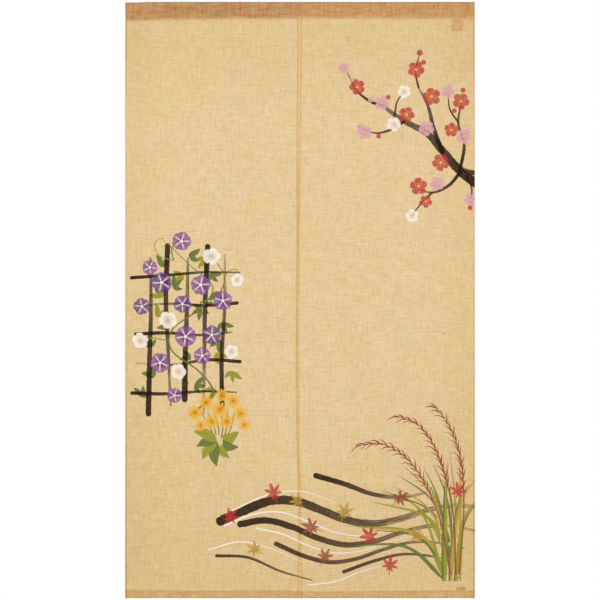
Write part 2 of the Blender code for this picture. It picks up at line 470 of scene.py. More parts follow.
@dataclass
class Panel:
    """One length of cloth, from under the heading down to the hem, which is turned up behind twice."""

    side: Side
    hang: Hang
    painting: Painting
    cloth: float = 0.5 * MM
    grid_pitch: float = 4.1 * MM
    hem_pitch: float = 1.6 * MM
    turned_in: float = 9.0 * MM
    joint: float = 0.05 * MM
    turned_away: float = 0.032 * MM
    turn_rows: int = 8
    hem_rows: int = 5
    inner_turn_rows: int = 5
    inner_rows: int = 3

    def path(self, x: Array) -> tuple[Array, Array]:
        """The path of the cloth down its length, the same for every column but for its turnings.

        Straight down in front, half a circle back round the foot, up behind by the hem's width, half a
        smaller circle forward, and down between the two layers.

        Args:
            x: One place across for each column.

        Returns:
            The drop and the distance behind the front layer, a row for each step down the path.
        """
        radius, small = self.hem_pitch / 2, self.hem_pitch / 4
        top = self.hang.heading(x) + self.joint
        centre = self.hang.drop - self.cloth / 2 - radius
        shoulder = self.hang.hem(x) + self.cloth / 2 + small
        rows = round((centre - float(top.mean())) / self.grid_pitch)
        turn, over = math.pi * shares(self.turn_rows), math.pi * shares(self.inner_turn_rows, 1)
        return section(
            len(x),
            (top + shares(rows, 0, -1) * (centre - top), 0.0),
            (centre + radius * np.sin(turn), radius * (1 - np.cos(turn))),
            (centre + (shoulder - centre) * shares(self.hem_rows, 1), self.hem_pitch),
            (shoulder - small * np.sin(over), self.hem_pitch - small * (1 - np.cos(over))),
            (shoulder + self.turned_in * shares(self.inner_rows, 1), radius),
        )

    def build(self) -> bpy.types.Object:
        """Builds the panel and keeps what its finish needs to know at each point.

        Returns:
            The panel, whose columns lie an even share apart between its two edges at each drop.
        """
        hang, side = self.hang, self.side
        columns = round(abs(float(hang.outer(side, 0.5))) / self.grid_pitch)
        share = np.linspace(0, 1, columns + 1)
        left, right = (hang.outer, hang.slit)[:: -side.way]
        start, end = float(left(side, 0.0)), float(right(side, 0.0))
        drop, back = self.path(start + (end - start) * share)
        x = left(side, drop) + (right(side, drop) - left(side, drop)) * share
        middle = np.dstack([x, hang.depth(side, x, drop) + back, -drop])
        sheet = Sheet(f"{side.value}_cloth", middle, self.cloth)
        sheet.unroll(x, sheet.run_length() + drop[:1])
        lapped = side.way * (hang.slit(Side.LEFT if side is Side.RIGHT else Side.RIGHT, drop) - x)
        to_slit, to_side = (np.abs(x - edge(side, drop)) for edge in (hang.slit, hang.outer))
        sheet.measure("to_edges", to_slit, to_side, lapped)
        sheet.measure("to_turnings", drop - hang.heading(x), drop - hang.hem(x), hang.drop - drop)
        self.painting.onto(sheet, x, drop, back > self.turned_away)
        return sheet.piece


@dataclass
class Heading:
    """One half of the rod pocket: the cloth turned over at the top, with its cut edge turned in."""

    side: Side
    hang: Hang
    cloth: float = 0.5 * MM
    tail: float = 8.0 * MM
    wall_pitch: float = 1.3 * MM
    front_swell: float = 1.2 * MM
    back_swell: float = 7.0 * MM
    swell_variation: float = 0.08
    swell_wave: float = 70.0 * MM
    grid_pitch: float = 4.1 * MM
    wall_rows: int = 16
    turn_rows: int = 8
    turned_in: float = 6.5 * MM
    inner_turn_rows: int = 5
    inner_rows: int = 3

    def build(self) -> bpy.types.Object:
        """Builds the pocket's half.

        The section goes down the turned-in edge, round its small fold, up the back wall, over the top
        and down the front wall. Each wall lies flat over the sewn tail, and above it swells as half a
        sine wave, a little more in some places than in others.

        Returns:
            The pocket's half.
        """
        hang, side = self.hang, self.side
        seam = hang.seam_x + side.way * hang.seam_gap / 2
        outer = float(hang.outer(side, 0.0))
        share = np.linspace(0, 1, round(abs(outer) / self.grid_pitch) + 1)[:: -side.way]
        guide = outer * (1 - share) + seam * share
        radius, small = self.wall_pitch / 2, self.wall_pitch / 4
        upper, foot = hang.sag(guide) + self.cloth / 2 + radius, hang.heading(guide)
        back_foot = foot - self.cloth / 2 - small
        slack = 1 + self.swell_variation * np.sin(guide / self.swell_wave)
        wall = back_foot + (upper - back_foot) * shares(self.wall_rows, 1)
        front = upper + (foot - upper) * shares(self.wall_rows)
        back_swell, front_swell = (
            slack * np.sin(math.pi * np.clip((foot - self.tail - each) / (foot - self.tail - upper), 0, 1))
            for each in (wall, front)
        )
        turn, over = math.pi * shares(self.inner_turn_rows), math.pi * shares(self.turn_rows, 1, -1)
        drop, y = section(
            len(share),
            (back_foot - self.turned_in * (1 - shares(self.inner_rows, 0, -1)), radius),
            (back_foot + small * np.sin(turn), radius + small * (1 - np.cos(turn))),
            (wall, self.wall_pitch + self.back_swell * back_swell),
            (upper - radius * np.sin(over), radius * (1 + np.cos(over))),
            (front, -self.front_swell * front_swell),
        )
        x = hang.outer(side, drop) + (seam - hang.outer(side, drop)) * share
        middle = np.dstack([x, y + hang.puckers(x, drop) + hang.creases(x, drop), -drop])
        sheet = Sheet(f"{side.value}_rod_pocket", middle, self.cloth)
        along = sheet.run_length()
        sheet.unroll(x, foot - along[-1] + along)
        sheet.measure("to_turnings", foot - drop, drop - upper + radius, 0.0)
        return sheet.piece


@dataclass
class CareLabel:
    """A narrow tape sewn in under the heading at the back, with its free end folded up behind it."""

    top: float = 39.3 * MM
    foot: float = 73.3 * MM
    left: float = 382.4 * MM
    width: float = 28.6 * MM
    skew: float = 2.6 * MM
    turn_up: float = 17.6 * MM
    pitch: float = 1.3 * MM
    behind: float = 2.6 * MM
    tape: float = 0.45 * MM
    curl: float = 0.5 * MM
    columns: int = 18
    rows: int = 20
    turn_rows: int = 8

    def build(self) -> bpy.types.Object:
        """Builds the tape: straight down, half a circle back, and up again, a little askew and curled.

        The free end curls away as the square of its distance from the fold.

        Returns:
            The tape.
        """
        share, radius = np.linspace(0, 1, self.columns + 1), self.pitch / 2
        centre = self.foot - self.tape / 2 - radius
        turn, up = math.pi * shares(self.turn_rows), shares(self.rows // 2, 1)
        drop, back = section(
            len(share),
            (self.top + (centre - self.top) * shares(self.rows, 0, -1), 0.0),
            (centre + radius * np.sin(turn), radius * (1 - np.cos(turn))),
            (centre - self.turn_up * up, self.pitch + self.curl * up**2),
        )
        x = self.left + self.width * share - self.skew * np.clip(back / self.pitch, 0, 1)
        bow = self.curl * (2 * share - 1) ** 2 * np.clip((drop - self.top) / (self.foot - self.top), 0, 1)
        sheet = Sheet("care_tape", np.dstack([x, self.behind + back + bow, -drop]), self.tape)
        sheet.unroll(x, sheet.run_length())
        return sheet.piece


@dataclass
class HemLabel:
    """A short tape that stands on the hem's upper edge, against the back of the right-hand length."""

    hang: Hang
    top: float = 1.471
    left: float = 392.0 * MM
    width: float = 24.4 * MM
    above_hem: float = 0.3 * MM
    behind: float = 1.3 * MM
    tape: float = 0.45 * MM
    bow: float = 0.3 * MM
    columns: int = 16
    rows: int = 8

    def build(self) -> bpy.types.Object:
        """Builds the tape: a flat strip on the cloth's folds, bowed back a little at its middle.

        Returns:
            The tape.
        """
        share = np.linspace(0, 1, self.columns + 1)
        x = self.left + self.width * share
        drop = self.top + (self.hang.hem(x) - self.above_hem - self.top) * shares(self.rows)
        y = self.hang.folds(x, drop) + self.behind + self.bow * np.sin(math.pi * share)
        sheet = Sheet("hem_tape", np.dstack([x + 0 * drop, y, -drop]), self.tape)
        sheet.unroll(x, drop)
        return sheet.piece


@dataclass
class Stitches:
    """Rows of small running stitches that hold the turnings down, on the front and at the back."""

    side: Side
    hang: Hang
    pitch: float = 3.3 * MM
    long: float = 2.5 * MM
    wide: float = 0.55 * MM
    high: float = 0.30 * MM
    cloth: float = 0.5 * MM
    wander: float = 0.14 * MM
    from_slit: float = 2.0 * MM
    from_side: float = 2.6 * MM
    above_foot: float = 2.6 * MM
    below_shoulder: float = 2.2 * MM
    rings: tuple[tuple[float, float], ...] = ((-0.68, 0.75), (0.0, 1.0), (0.68, 0.75))
    seed: int = 11

    def lump(self) -> tuple[Array, Numbers]:
        """One stitch: a closed lump of three rings of six points between two tips, 36 triangles.

        Each ring has its place along the stitch and its fullness, as shares of the half length and width.

        Returns:
            Its points, as shares of its half length, half width and height, and its triangles.
        """
        turn = np.arange(6) * math.pi / 3
        ring = np.stack([0 * turn, np.cos(turn), np.sin(turn)], axis=-1)
        points = [ring * (0, full, full) + (at, 0, 0) for at, full in self.rings]
        here, onward = np.arange(6), np.roll(np.arange(6), -1)
        corners = [(0 * here, onward + 1, here + 1)]
        for start in (1, 7):
            corners.append((start + here, start + onward, start + 6 + onward))
            corners.append((start + here, start + 6 + onward, start + 6 + here))
        corners.append((13 + here, 13 + onward, 19 + 0 * here))
        faces = np.vstack([np.stack(each, axis=-1) for each in corners])
        return np.vstack([[(-1.0, 0.0, 0.0)], *points, [(1.0, 0.0, 0.0)]]), faces

    def drop(self, seam: Seam, x: Array) -> Array:
        """The row's drop: a little above the heading's lower edge, or below the hem's upper edge."""
        heading, hem = self.hang.heading(x) - self.above_foot, self.hang.hem(x) + self.below_shoulder
        return heading if seam is Seam.HEADING else hem

    def row(self, seam: Seam, deep: float) -> bpy.types.Object:
        """One row across the cloth, whose stitches at the back lie between those in front.

        Args:
            seam: The edge that it holds.
            deep: From the middle of the front layer to the middle of the rearmost one.

        Returns:
            The row as one object, each stitch sunk in the cloth by half its height.
        """
        hang, side, guide = self.hang, self.side, self.drop(seam, np.zeros(1))
        slit, outer = float(hang.slit(side, guide)[0]), float(hang.outer(side, guide)[0])
        first, last = sorted((slit + side.way * self.from_slit, outer - side.way * self.from_side))
        across = np.arange(first, last - self.pitch, self.pitch)
        draw = np.random.default_rng(self.seed)
        lump, faces = self.lump()
        rows = []
        for out, shift, back in ((-1, 0.0, -self.cloth / 2), (1, self.pitch / 2, deep + self.cloth / 2)):
            x = across + shift + draw.normal(0, self.wander, len(across))
            ends = [
                np.stack([at, hang.depth(side, at, drop) + back, -drop], axis=-1)
                for at, drop in ((at, self.drop(seam, at)) for at in (x, x + self.long))
            ]
            middle, half = (ends[0] + ends[1]) / 2, (ends[1] - ends[0]) / 2
            middle[:, 2] += draw.normal(0, self.wander, len(across))
            down, outward = np.array([0, 0, -out * self.wide / 2]), np.array([0, out * self.high, 0])
            stitch = lump[:, :1] * half[:, None] + lump[:, 1:2] * down + lump[:, 2:] * outward
            rows.append(middle[:, None] + stitch)
        points = np.concatenate(rows)
        every = faces + len(lump) * np.arange(len(points))[:, None, None]
        name = f"{side.value}_{seam.value}_thread"
        return mesh_object(name, points.reshape(-1, 3), every.reshape(-1, 3))


def linear(code: str) -> Colour:
    """An sRGB hex colour in linear light, opaque.

    Args:
        code: The colour as "#RRGGBB".

    Returns:
        Its red, green, blue and alpha.
    """
    parts = np.array([int(code[i : i + 2], 16) for i in (1, 3, 5)]) / 255
    light = np.where(parts <= 0.04045, parts / 12.92, ((parts + 0.055) / 1.055) ** 2.4)
    return (*(float(part) for part in light), 1.0)


def add(
    tree: Tree,
    kind: str,
    *inputs: Socket | Given | None,
    out: str | None = None,
    **settings: str | bool | Tree,
) -> Socket:
    """Adds a node with its settings and links.

    Args:
        tree: The node tree.
        kind: The node's type without "ShaderNode".
        inputs: A value or a socket for each input in use, in their order; None leaves one as it is.
        out: The output that is returned, or None for the first in use.
        settings: The node's own properties.

    Returns:
        The output socket, or the node itself if it has none.
    """
    made = tree.nodes.new(kind if kind.startswith("Node") else f"ShaderNode{kind}")
    for key, value in settings.items():
        setattr(made, key, value)
    for socket, value in zip([each for each in made.inputs if each.enabled], inputs):
        if isinstance(value, Socket):
            tree.links.new(value, socket)
        elif value is not None:
            socket.default_value = value
    return next((each for each in made.outputs if each.enabled), made) if out is None else made.outputs[out]


class Ramp(NamedTuple):
    """How a share goes with a measure: from its first value at the start to its last at the end."""

    start: float
    end: float
    first: float = 0.0
    last: float = 1.0


SMOOTH = {"interpolation_type": "SMOOTHSTEP"}
MIXED = {"data_type": "RGBA"}
TINTED = {"data_type": "RGBA", "blend_type": "MULTIPLY"}
PLUS, LESS, TIMES = {"operation": "ADD"}, {"operation": "SUBTRACT"}, {"operation": "MULTIPLY"}
TIMES_PLUS, MOST = {"operation": "MULTIPLY_ADD"}, {"operation": "MAXIMUM"}


def node_group(name: str, given: dict[str, str], made: dict[str, str]) -> tuple[Tree, list[Socket]]:
    """Starts a group of shader nodes.

    Args:
        name: The group's name.
        given: The kind of each input by its name: "Color", "Float" or "Vector".
        made: The kind of each output by its name.

    Returns:
        The group's tree, and the sockets that its inputs come in by.
    """
    tree = bpy.data.node_groups.new(name, "ShaderNodeTree")
    for way, sockets in (("INPUT", given), ("OUTPUT", made)):
        for label, kind in sockets.items():
            tree.interface.new_socket(label, in_out=way, socket_type=f"NodeSocket{kind}")
    return tree, list(add(tree, "NodeGroupInput").node.outputs)[: len(given)]


@dataclass(frozen=True)
class Weave:
    """Plain-woven hemp, hand-spun: threads of uneven thickness and colour, with slubs and bits of bark.

    The threads are about 0.7 mm apart, too fine for the picture, so what shows is drawn coarser: short
    streaks some 5 mm wide, both ways, that are bleached or straw, rosy or grassy, amber or ashen, as the
    eye sees them from a step away.
    """

    name: str = "hemp_weave"
    rosy: str = "#FFE2FF"
    grassy: str = "#E2FFFF"
    amber: str = "#FFFFCE"
    ashen: str = "#DAD2FF"
    slub: str = "#CFA468"
    bark: str = "#8B6238"
    streak: float = 4.4 * MM
    warp_streak: float = 30 * MM
    weft_streak: float = 24 * MM
    patch: float = 60 * MM
    patch_share: float = 0.25
    spread: float = 0.36
    slub_width: float = 1.8 * MM
    warp_slub: float = 24 * MM
    weft_slub: float = 38.4 * MM
    slub_height: float = 1.2
    slub_up: Ramp = Ramp(0.66, 0.78, 0.0, 0.45)
    slub_over: Ramp = Ramp(0.65, 0.78, 0.0, 0.5)
    fleck_room: tuple[float, float] = (26 * MM, 70 * MM)
    fleck_size: float = 0.045
    darkness: Ramp = Ramp(0.45, 0.8, 0.0, 0.75)

    def group(self) -> Tree:
        """Lays out the weave.

        Returns:
            The node group, from flat coordinates, two thread colours and how uneven they are to a colour
            and a height.
        """
        given = {"Place": "Vector", "Pale": "Color", "Straw": "Color", "Uneven": "Float"}
        tree, sockets = node_group(self.name, given, {"Colour": "Color", "Height": "Float"})
        place, pale, straw, uneven = sockets
        put = partial(add, tree)

        def threads(wide: float, long: float, seed: float, upright: bool, out: str = "Fac") -> Socket:
            """Noise stretched along one set of threads.

            Args:
                wide: How wide a streak is.
                long: How long it is.
                seed: What sets this noise apart from the others.
                upright: Whether the threads are the warp.
                out: "Fac" for one number, or "Color" for three.

            Returns:
                The noise.
            """
            scale = (1 / wide, 1 / long, 1) if upright else (1 / long, 1 / wide, 1)
            at = put("Mapping", place, (seed, seed * 1.7, seed), None, scale)
            return put("TexNoise", at, 1.0, 2.0, 0.6, out=out)

        warp = threads(self.streak, self.warp_streak, 3.1, True, "Color")
        weft = threads(self.streak, self.weft_streak, 8.7, False, "Color")
        patches = put("TexNoise", place, 1 / self.patch, 2.0, out="Color")
        both = put("VectorMath", warp, weft, **PLUS)
        fields = put("VectorMath", patches, (self.patch_share,) * 3, both, **TIMES_PLUS)
        middle = 1.0 + self.patch_share / 2
        low, high = (middle - self.spread,) * 3, (middle + self.spread,) * 3
        fields = put("MapRange", fields, low, high, data_type="FLOAT_VECTOR")
        yellow, hue, tone = list(put("SeparateXYZ", fields).node.outputs)
        ground = put("Mix", yellow, pale, straw, **MIXED)
        for field, one, other in ((hue, self.rosy, self.grassy), (tone, self.amber, self.ashen)):
            tint = put("Mix", field, linear(one), linear(other), **MIXED)
            ground = put("Mix", uneven, ground, tint, **TINTED)
        slub_warp = threads(self.slub_width, self.warp_slub, 23.3, True)
        slub_weft = threads(self.slub_width, self.weft_slub, 31.8, False)
        slub_up = put("MapRange", slub_warp, *self.slub_up, **SMOOTH)
        slub_over = put("MapRange", slub_weft, *self.slub_over, **SMOOTH)
        slubs = put("Math", slub_up, slub_over, **MOST)
        knotted = put("Mix", slubs, ground, linear(self.slub), **TINTED)
        across, along = self.fleck_room
        at = put("Mapping", place, None, None, (1 / across, 1 / along, 1))
        bits = put("TexVoronoi", at, 1.0).node.outputs
        size = self.fleck_size
        fleck = put("MapRange", bits["Distance"], size * 0.6, size * 1.4, 1.0, 0.0, **SMOOTH)
        bark = put("Math", fleck, put("MapRange", bits["Color"], *self.darkness), **TIMES)
        colour = put("Mix", bark, knotted, linear(self.bark), **TINTED)
        height = put("Math", slubs, self.slub_height, yellow, **TIMES_PLUS)
        put("NodeGroupOutput", colour, height)
        return tree


class Tip(Enum):
    """How a brush stroke widens and ends."""

    PRESSED = "pressed"
    LIFTED = "lifted"
    LEAF = "leaf"
    BLADE = "blade"
    THREAD = "thread"


@dataclass(frozen=True)
class Stroke:
    """One brush stroke through a few places, in millimetres across and down from the top edge."""

    places: Places
    width: float
    colour: str
    tip: Tip = Tip.LIFTED
    dryness: float = 0.0
    rib: float = 0.0
    step: float = 1.5 * MM
    readings: int = 24

    def path(self) -> Array:
        """Points an even step apart on the smooth curve through the places.

        Each stretch between two places is the cubic whose slope at a place is half the way from the
        place before it to the place after it. It is read a few times in each stretch, and then at even
        distances.

        Returns:
            A row of x and drop for each point, in metres.
        """
        given = np.array(self.places, float) * MM
        padded = np.vstack([2 * given[0] - given[1], given, 2 * given[-1] - given[-2]])
        t = shares(self.readings, 0, -1)[..., None]
        p0, p1, p2, p3 = padded[:-3], padded[1:-2], padded[2:-1], padded[3:]
        bend, twist = 2 * p0 - 5 * p1 + 4 * p2 - p3, 3 * p1 - p0 - 3 * p2 + p3
        curve = p1 + 0.5 * t * ((p2 - p0) + t * (bend + t * twist))
        curve = np.vstack([curve.transpose(1, 0, 2).reshape(-1, 2), given[-1:]])
        gone = np.concatenate([[0], np.cumsum(np.linalg.norm(np.diff(curve, axis=0), axis=1))])
        even = np.linspace(0, gone[-1], max(3, round(gone[-1] / self.step)))
        return np.stack([np.interp(even, gone, curve[:, 0]), np.interp(even, gone, curve[:, 1])], axis=-1)

    def half_width(self, share: Array) -> Array:
        """Half the stroke's width at each share of its length.

        Pressed: full, rounded off at both ends. Lifted: full, thinning to two fifths. Leaf: a sine arch
        that is widest before its middle. Blade: quickly full, then thinning to a point. Thread: even.

        Args:
            share: From 0 at its start to 1 at its end.

        Returns:
            The half width there, in metres.
        """
        share = np.clip(share, 0, 1)
        shape = {
            Tip.PRESSED: 0.85 + 0.15 * np.cos(2 * math.pi * share),
            Tip.LIFTED: 1 - 0.6 * share**1.6,
            Tip.LEAF: np.abs(np.sin(math.pi * share**0.8)) ** 0.85,
            Tip.BLADE: np.minimum(1, 0.3 + 5 * share) * (1 - share) ** 0.65,
            Tip.THREAD: 1 - 0.25 * share,
        }[self.tip]
        return shape * self.width * MM / 2

    def touches(self, places: Array, margin: float) -> NDArray[np.bool_]:
        """Which places the stroke may touch: those in the box round it, and of these, those near its line.

        Args:
            places: A row of x and drop for each place, in metres.
            margin: How far past its edge still counts.

        Returns:
            True for each place that is near enough.
        """
        line, reach = self.path(), margin + self.width * MM / 2
        near = ((places > line.min(axis=0) - reach) & (places < line.max(axis=0) + reach)).all(axis=1)
        boxed = np.flatnonzero(near)
        near[boxed] = np.linalg.norm(places[boxed, None] - line, axis=-1).min(axis=1) < reach
        return near

    def values(self, corners: Array, seed: float) -> dict[str, Array | tuple[float, ...]]:
        """What a layer keeps of the stroke at each corner: how far along its line it is, and how far off.

        Both are measured from the nearest point of the line, along its direction there and across it.

        Args:
            corners: The x and drop of four corners for each face.
            seed: What sets the stroke's bristle marks apart.

        Returns:
            Its path, ink and tint.
        """
        line = self.path()
        closest = np.linalg.norm(corners[:, :, None] - line, axis=-1).argmin(axis=-1)
        way = np.gradient(line, axis=0)
        way /= np.linalg.norm(way, axis=-1, keepdims=True)
        off, way = corners - line[closest], way[closest]
        gap = np.linalg.norm(np.diff(line, axis=0), axis=-1).mean()
        along = closest * gap + (off * way).sum(axis=-1)
        across = off[..., 0] * way[..., 1] - off[..., 1] * way[..., 0]
        share = along / (gap * (len(line) - 1))
        path = np.stack([along, across, self.half_width(share)], axis=-1)
        tint = np.dstack([np.full((*share.shape, 3), linear(self.colour)[:3]), share])
        return {"path": path, "ink": (self.dryness, self.rib, seed), "tint": tint}


@dataclass(frozen=True)
class Bloom:
    """A flower, leaf or bud seen face on, whose outline is a wave round its middle, in millimetres."""

    x: float
    drop: float
    across: float
    colour: str
    petals: int = 5
    notch: float = 0.3
    power: float = 0.45
    heart: str = "#F2C23A"
    heart_share: float = 0.16
    rays: float = 0.0
    turn: float = 0.0
    squash: float = 1.0
    lean: float = 0.0
    strength: float = 0.97

    def touches(self, places: Array, margin: float) -> NDArray[np.bool_]:
        """Which places the bloom may touch: those inside a circle that is a little wider than it.

        Args:
            places: A row of x and drop for each place, in metres.
            margin: How far past its edge still counts.

        Returns:
            True for each place that is near enough.
        """
        reach = margin + 1.12 * self.across * MM / 2
        return np.linalg.norm(places - np.array([self.x, self.drop]) * MM, axis=-1) < reach

    def values(self, corners: Array, seed: float) -> dict[str, Array | tuple[float, ...]]:
        """What a layer keeps of the bloom: the corners' places from its middle, as shares of its radius.

        They are turned and squashed with the bloom, and stretched in the direction in which it leans.

        Args:
            corners: The x and drop of four corners for each face.
            seed: What sets the bloom's uneven edge apart.

        Returns:
            Its place, shape, tint and heart.
        """
        off = (corners - np.array([self.x, self.drop]) * MM) / (self.across * MM / 2)
        turn = math.radians(self.turn)
        u = off[..., 0] * math.cos(turn) + off[..., 1] * math.sin(turn)
        v = (off[..., 1] * math.cos(turn) - off[..., 0] * math.sin(turn)) / self.squash
        stretch = 1 + self.lean * u / np.maximum(np.hypot(u, v), 1e-6)
        return {
            "place": np.stack([u / stretch, v / stretch, 0 * u + seed], axis=-1),
            "shape": (self.petals, self.notch, self.power, self.rays),
            "tint": (*linear(self.colour)[:3], self.strength),
            "heart": (*linear(self.heart)[:3], self.heart_share),
        }


Motif = tuple[list[Stroke], list[Bloom]]


@dataclass(frozen=True)
class Kind:
    """A kind of motif: how many layers of it a face can keep, and the values of a face without one."""

    name: str
    count: int
    empty: dict[str, tuple[float, ...]]

    def sockets(self, tree: Tree, layer: int) -> list[Socket]:
        """Reads one layer in a material.

        Args:
            tree: The material's nodes.
            layer: The layer's number, from 0 for the undermost.

        Returns:
            A vector for each value in turn, followed by its fourth number where it has four.
        """
        found = []
        for name, parts in self.empty.items():
            value = add(tree, "Attribute", attribute_name=f"{self.name}_{layer}_{name}").node.outputs
            found += [value["Vector"], value["Alpha"]][: len(parts) - 2]
        return found


STROKE = Kind("stroke", 4, {"path": (0, 0, -1), "ink": (0, 0, 0), "tint": (0, 0, 0, 0)})
BLOOM = Kind("bloom", 3, {"place": (9, 9, 0), "shape": (0,) * 4, "tint": (0,) * 4, "heart": (0,) * 4})


class Layers:
    """The layers of one kind of motif at the four corners of each face of a sheet."""

    def __init__(self, kind: Kind, faces: int) -> None:
        """Starts with empty layers.

        Args:
            kind: The kind of motif.
            faces: How many faces the sheet has on one side.
        """
        self.kind = kind
        self.used = np.zeros(faces, int)
        shape = (kind.count, faces, 4, 1)
        self.values = {name: np.tile(np.array(parts, float), shape) for name, parts in kind.empty.items()}

    def put(self, near: Numbers, **given: Array | tuple[float, ...]) -> None:
        """Puts a motif into the lowest free layer of some faces, where a full one gives up its undermost.

        Args:
            near: The faces that the motif touches.
            given: Each of its values, for every corner of these faces or for them all.
        """
        full = near[self.used[near] == self.kind.count]
        self.used[full] -= 1
        for name, values in given.items():
            layers = self.values[name]
            layers[:-1, full] = layers[1:, full]
            layers[self.used[near], near] = values
        self.used[near] += 1

    def keep(self, sheet: Sheet) -> None:
        """Stores the layers with both sides of a sheet, and the empty values on its rim.

        Args:
            sheet: The sheet.
        """
        rim = len(sheet.faces) - 2 * len(sheet.quads)
        for name, parts in self.kind.empty.items():
            kind, part = ("FLOAT_VECTOR", "vector") if len(parts) == 3 else ("FLOAT_COLOR", "color")
            filler = np.tile(np.array(parts, float), (rim, 4, 1))
            for layer, values in enumerate(self.values[name]):
                every = np.concatenate([values, values[:, ::-1], filler])
                sheet.store(f"{self.kind.name}_{layer}_{name}", kind, "CORNER", part, every)


@dataclass(frozen=True)
class Ink:
    """Soot ink and thin colour from a round brush: a wavering edge, bristle marks as it dries, a darker rim.

    A ramp's measure is a distance in metres, a share of the stroke's length, or noise from 0 to 1.
    """

    name: str = "brush_stroke"
    bristles: tuple[float, float, float] = (26, 620, 0)  # marks 38 mm long and 1.6 mm wide
    waver: tuple[float, float, float] = (120, 60, 0)  # bulges 8 mm long
    waver_swing: float = 0.5
    waver_least: float = 0.75
    cover: Ramp = Ramp(-0.25 * MM, 0.45 * MM)
    drying: Ramp = Ramp(0.15, 1.0, 0.1, 0.8)
    wet: Ramp = Ramp(-0.12, 0.14, 0.45, 1.0)
    thinned: Ramp = Ramp(0.05, 0.6, 1.0, 0.78)
    even: Ramp = Ramp(0.32, 0.62, 0.97, 1.0)
    rim: Ramp = Ramp(0.1 * MM, 1.2 * MM, 0.35, 0.0)
    rim_tint: str = "#A09589"
    bare: Ramp = Ramp(0.5, 0.8, 0.0, 0.06)
    rib: Ramp = Ramp(0.3 * MM, 0.9 * MM, 0.55, 0.0)
    rib_tint: str = "#898161"
    soaked: Ramp = Ramp(0.0, 1.0, 1.0, 0.42)
    woven: Ramp = Ramp(0.8, 1.3, 0.985, 1.0)

    def group(self) -> Tree:
        """Draws one layer of strokes.

        A stroke covers what is nearer its middle line, or one of its ends, than its half width: past an
        end, which is before 0 or beyond its whole length, how far past counts too. Its bristle marks are
        noise stretched along it, and the paint is thinner where they are low, darker at its rim, and
        broken a little by the weave.

        Returns:
            The node group, from what is under it and a stroke's values to the colour.
        """
        given = {"Under": "Color", "Behind": "Float", "Weave": "Float", "Path": "Vector", "Ink": "Vector"}
        given |= {"Tint": "Color", "Share": "Float"}
        tree, sockets = node_group(self.name, given, {"Colour": "Color"})
        under, behind, weave, path, ink, tint, share = sockets
        put = partial(add, tree)
        along, across, half = put("SeparateXYZ", path).node.outputs
        whole = put("Math", along, share, operation="DIVIDE")
        beyond, before = put("Math", along, whole, **LESS), put("Math", along, -1.0, **TIMES)
        past = put("Math", put("Math", beyond, before, **MOST), 0.0, **MOST)
        away = put("VectorMath", put("CombineXYZ", across, past), operation="LENGTH")
        dryness, rib, seed = put("SeparateXYZ", ink).node.outputs
        bristles, waver = (
            put("TexNoise", put("Mapping", path, None, None, scale), seed, 1.0, detail, noise_dimensions="4D")
            for scale, detail in ((self.bristles, 2.0), (self.waver, 3.0))
        )
        swing = put("Math", waver, self.waver_swing, self.waver_least, **TIMES_PLUS)
        inside = put("Math", put("Math", half, swing, **TIMES), away, **LESS)
        level = put("Math", put("MapRange", share, *self.drying), dryness, **TIMES)
        left = put("Math", bristles, level, **LESS)
        rim = put("MapRange", inside, *self.rim, **SMOOTH)
        shaded = put("Mix", rim, tint, linear(self.rim_tint), **TINTED)
        washed = put("Mix", put("MapRange", waver, *self.bare), shaded, under, **MIXED)
        ribbed = put("Math", put("MapRange", away, *self.rib, **SMOOTH), rib, **TIMES)
        inked = put("Mix", ribbed, washed, linear(self.rib_tint), **TINTED)
        seen = put("MapRange", inside, *self.cover, **SMOOTH)
        for factor in (
            put("MapRange", left, *self.wet, **SMOOTH),
            put("MapRange", bristles, *self.even),
            put("MapRange", level, *self.thinned),
            put("MapRange", behind, *self.soaked),
            put("MapRange", weave, *self.woven),
        ):
            seen = put("Math", seen, factor, **TIMES)
        put("NodeGroupOutput", put("Mix", seen, under, inked, **MIXED))
        return tree


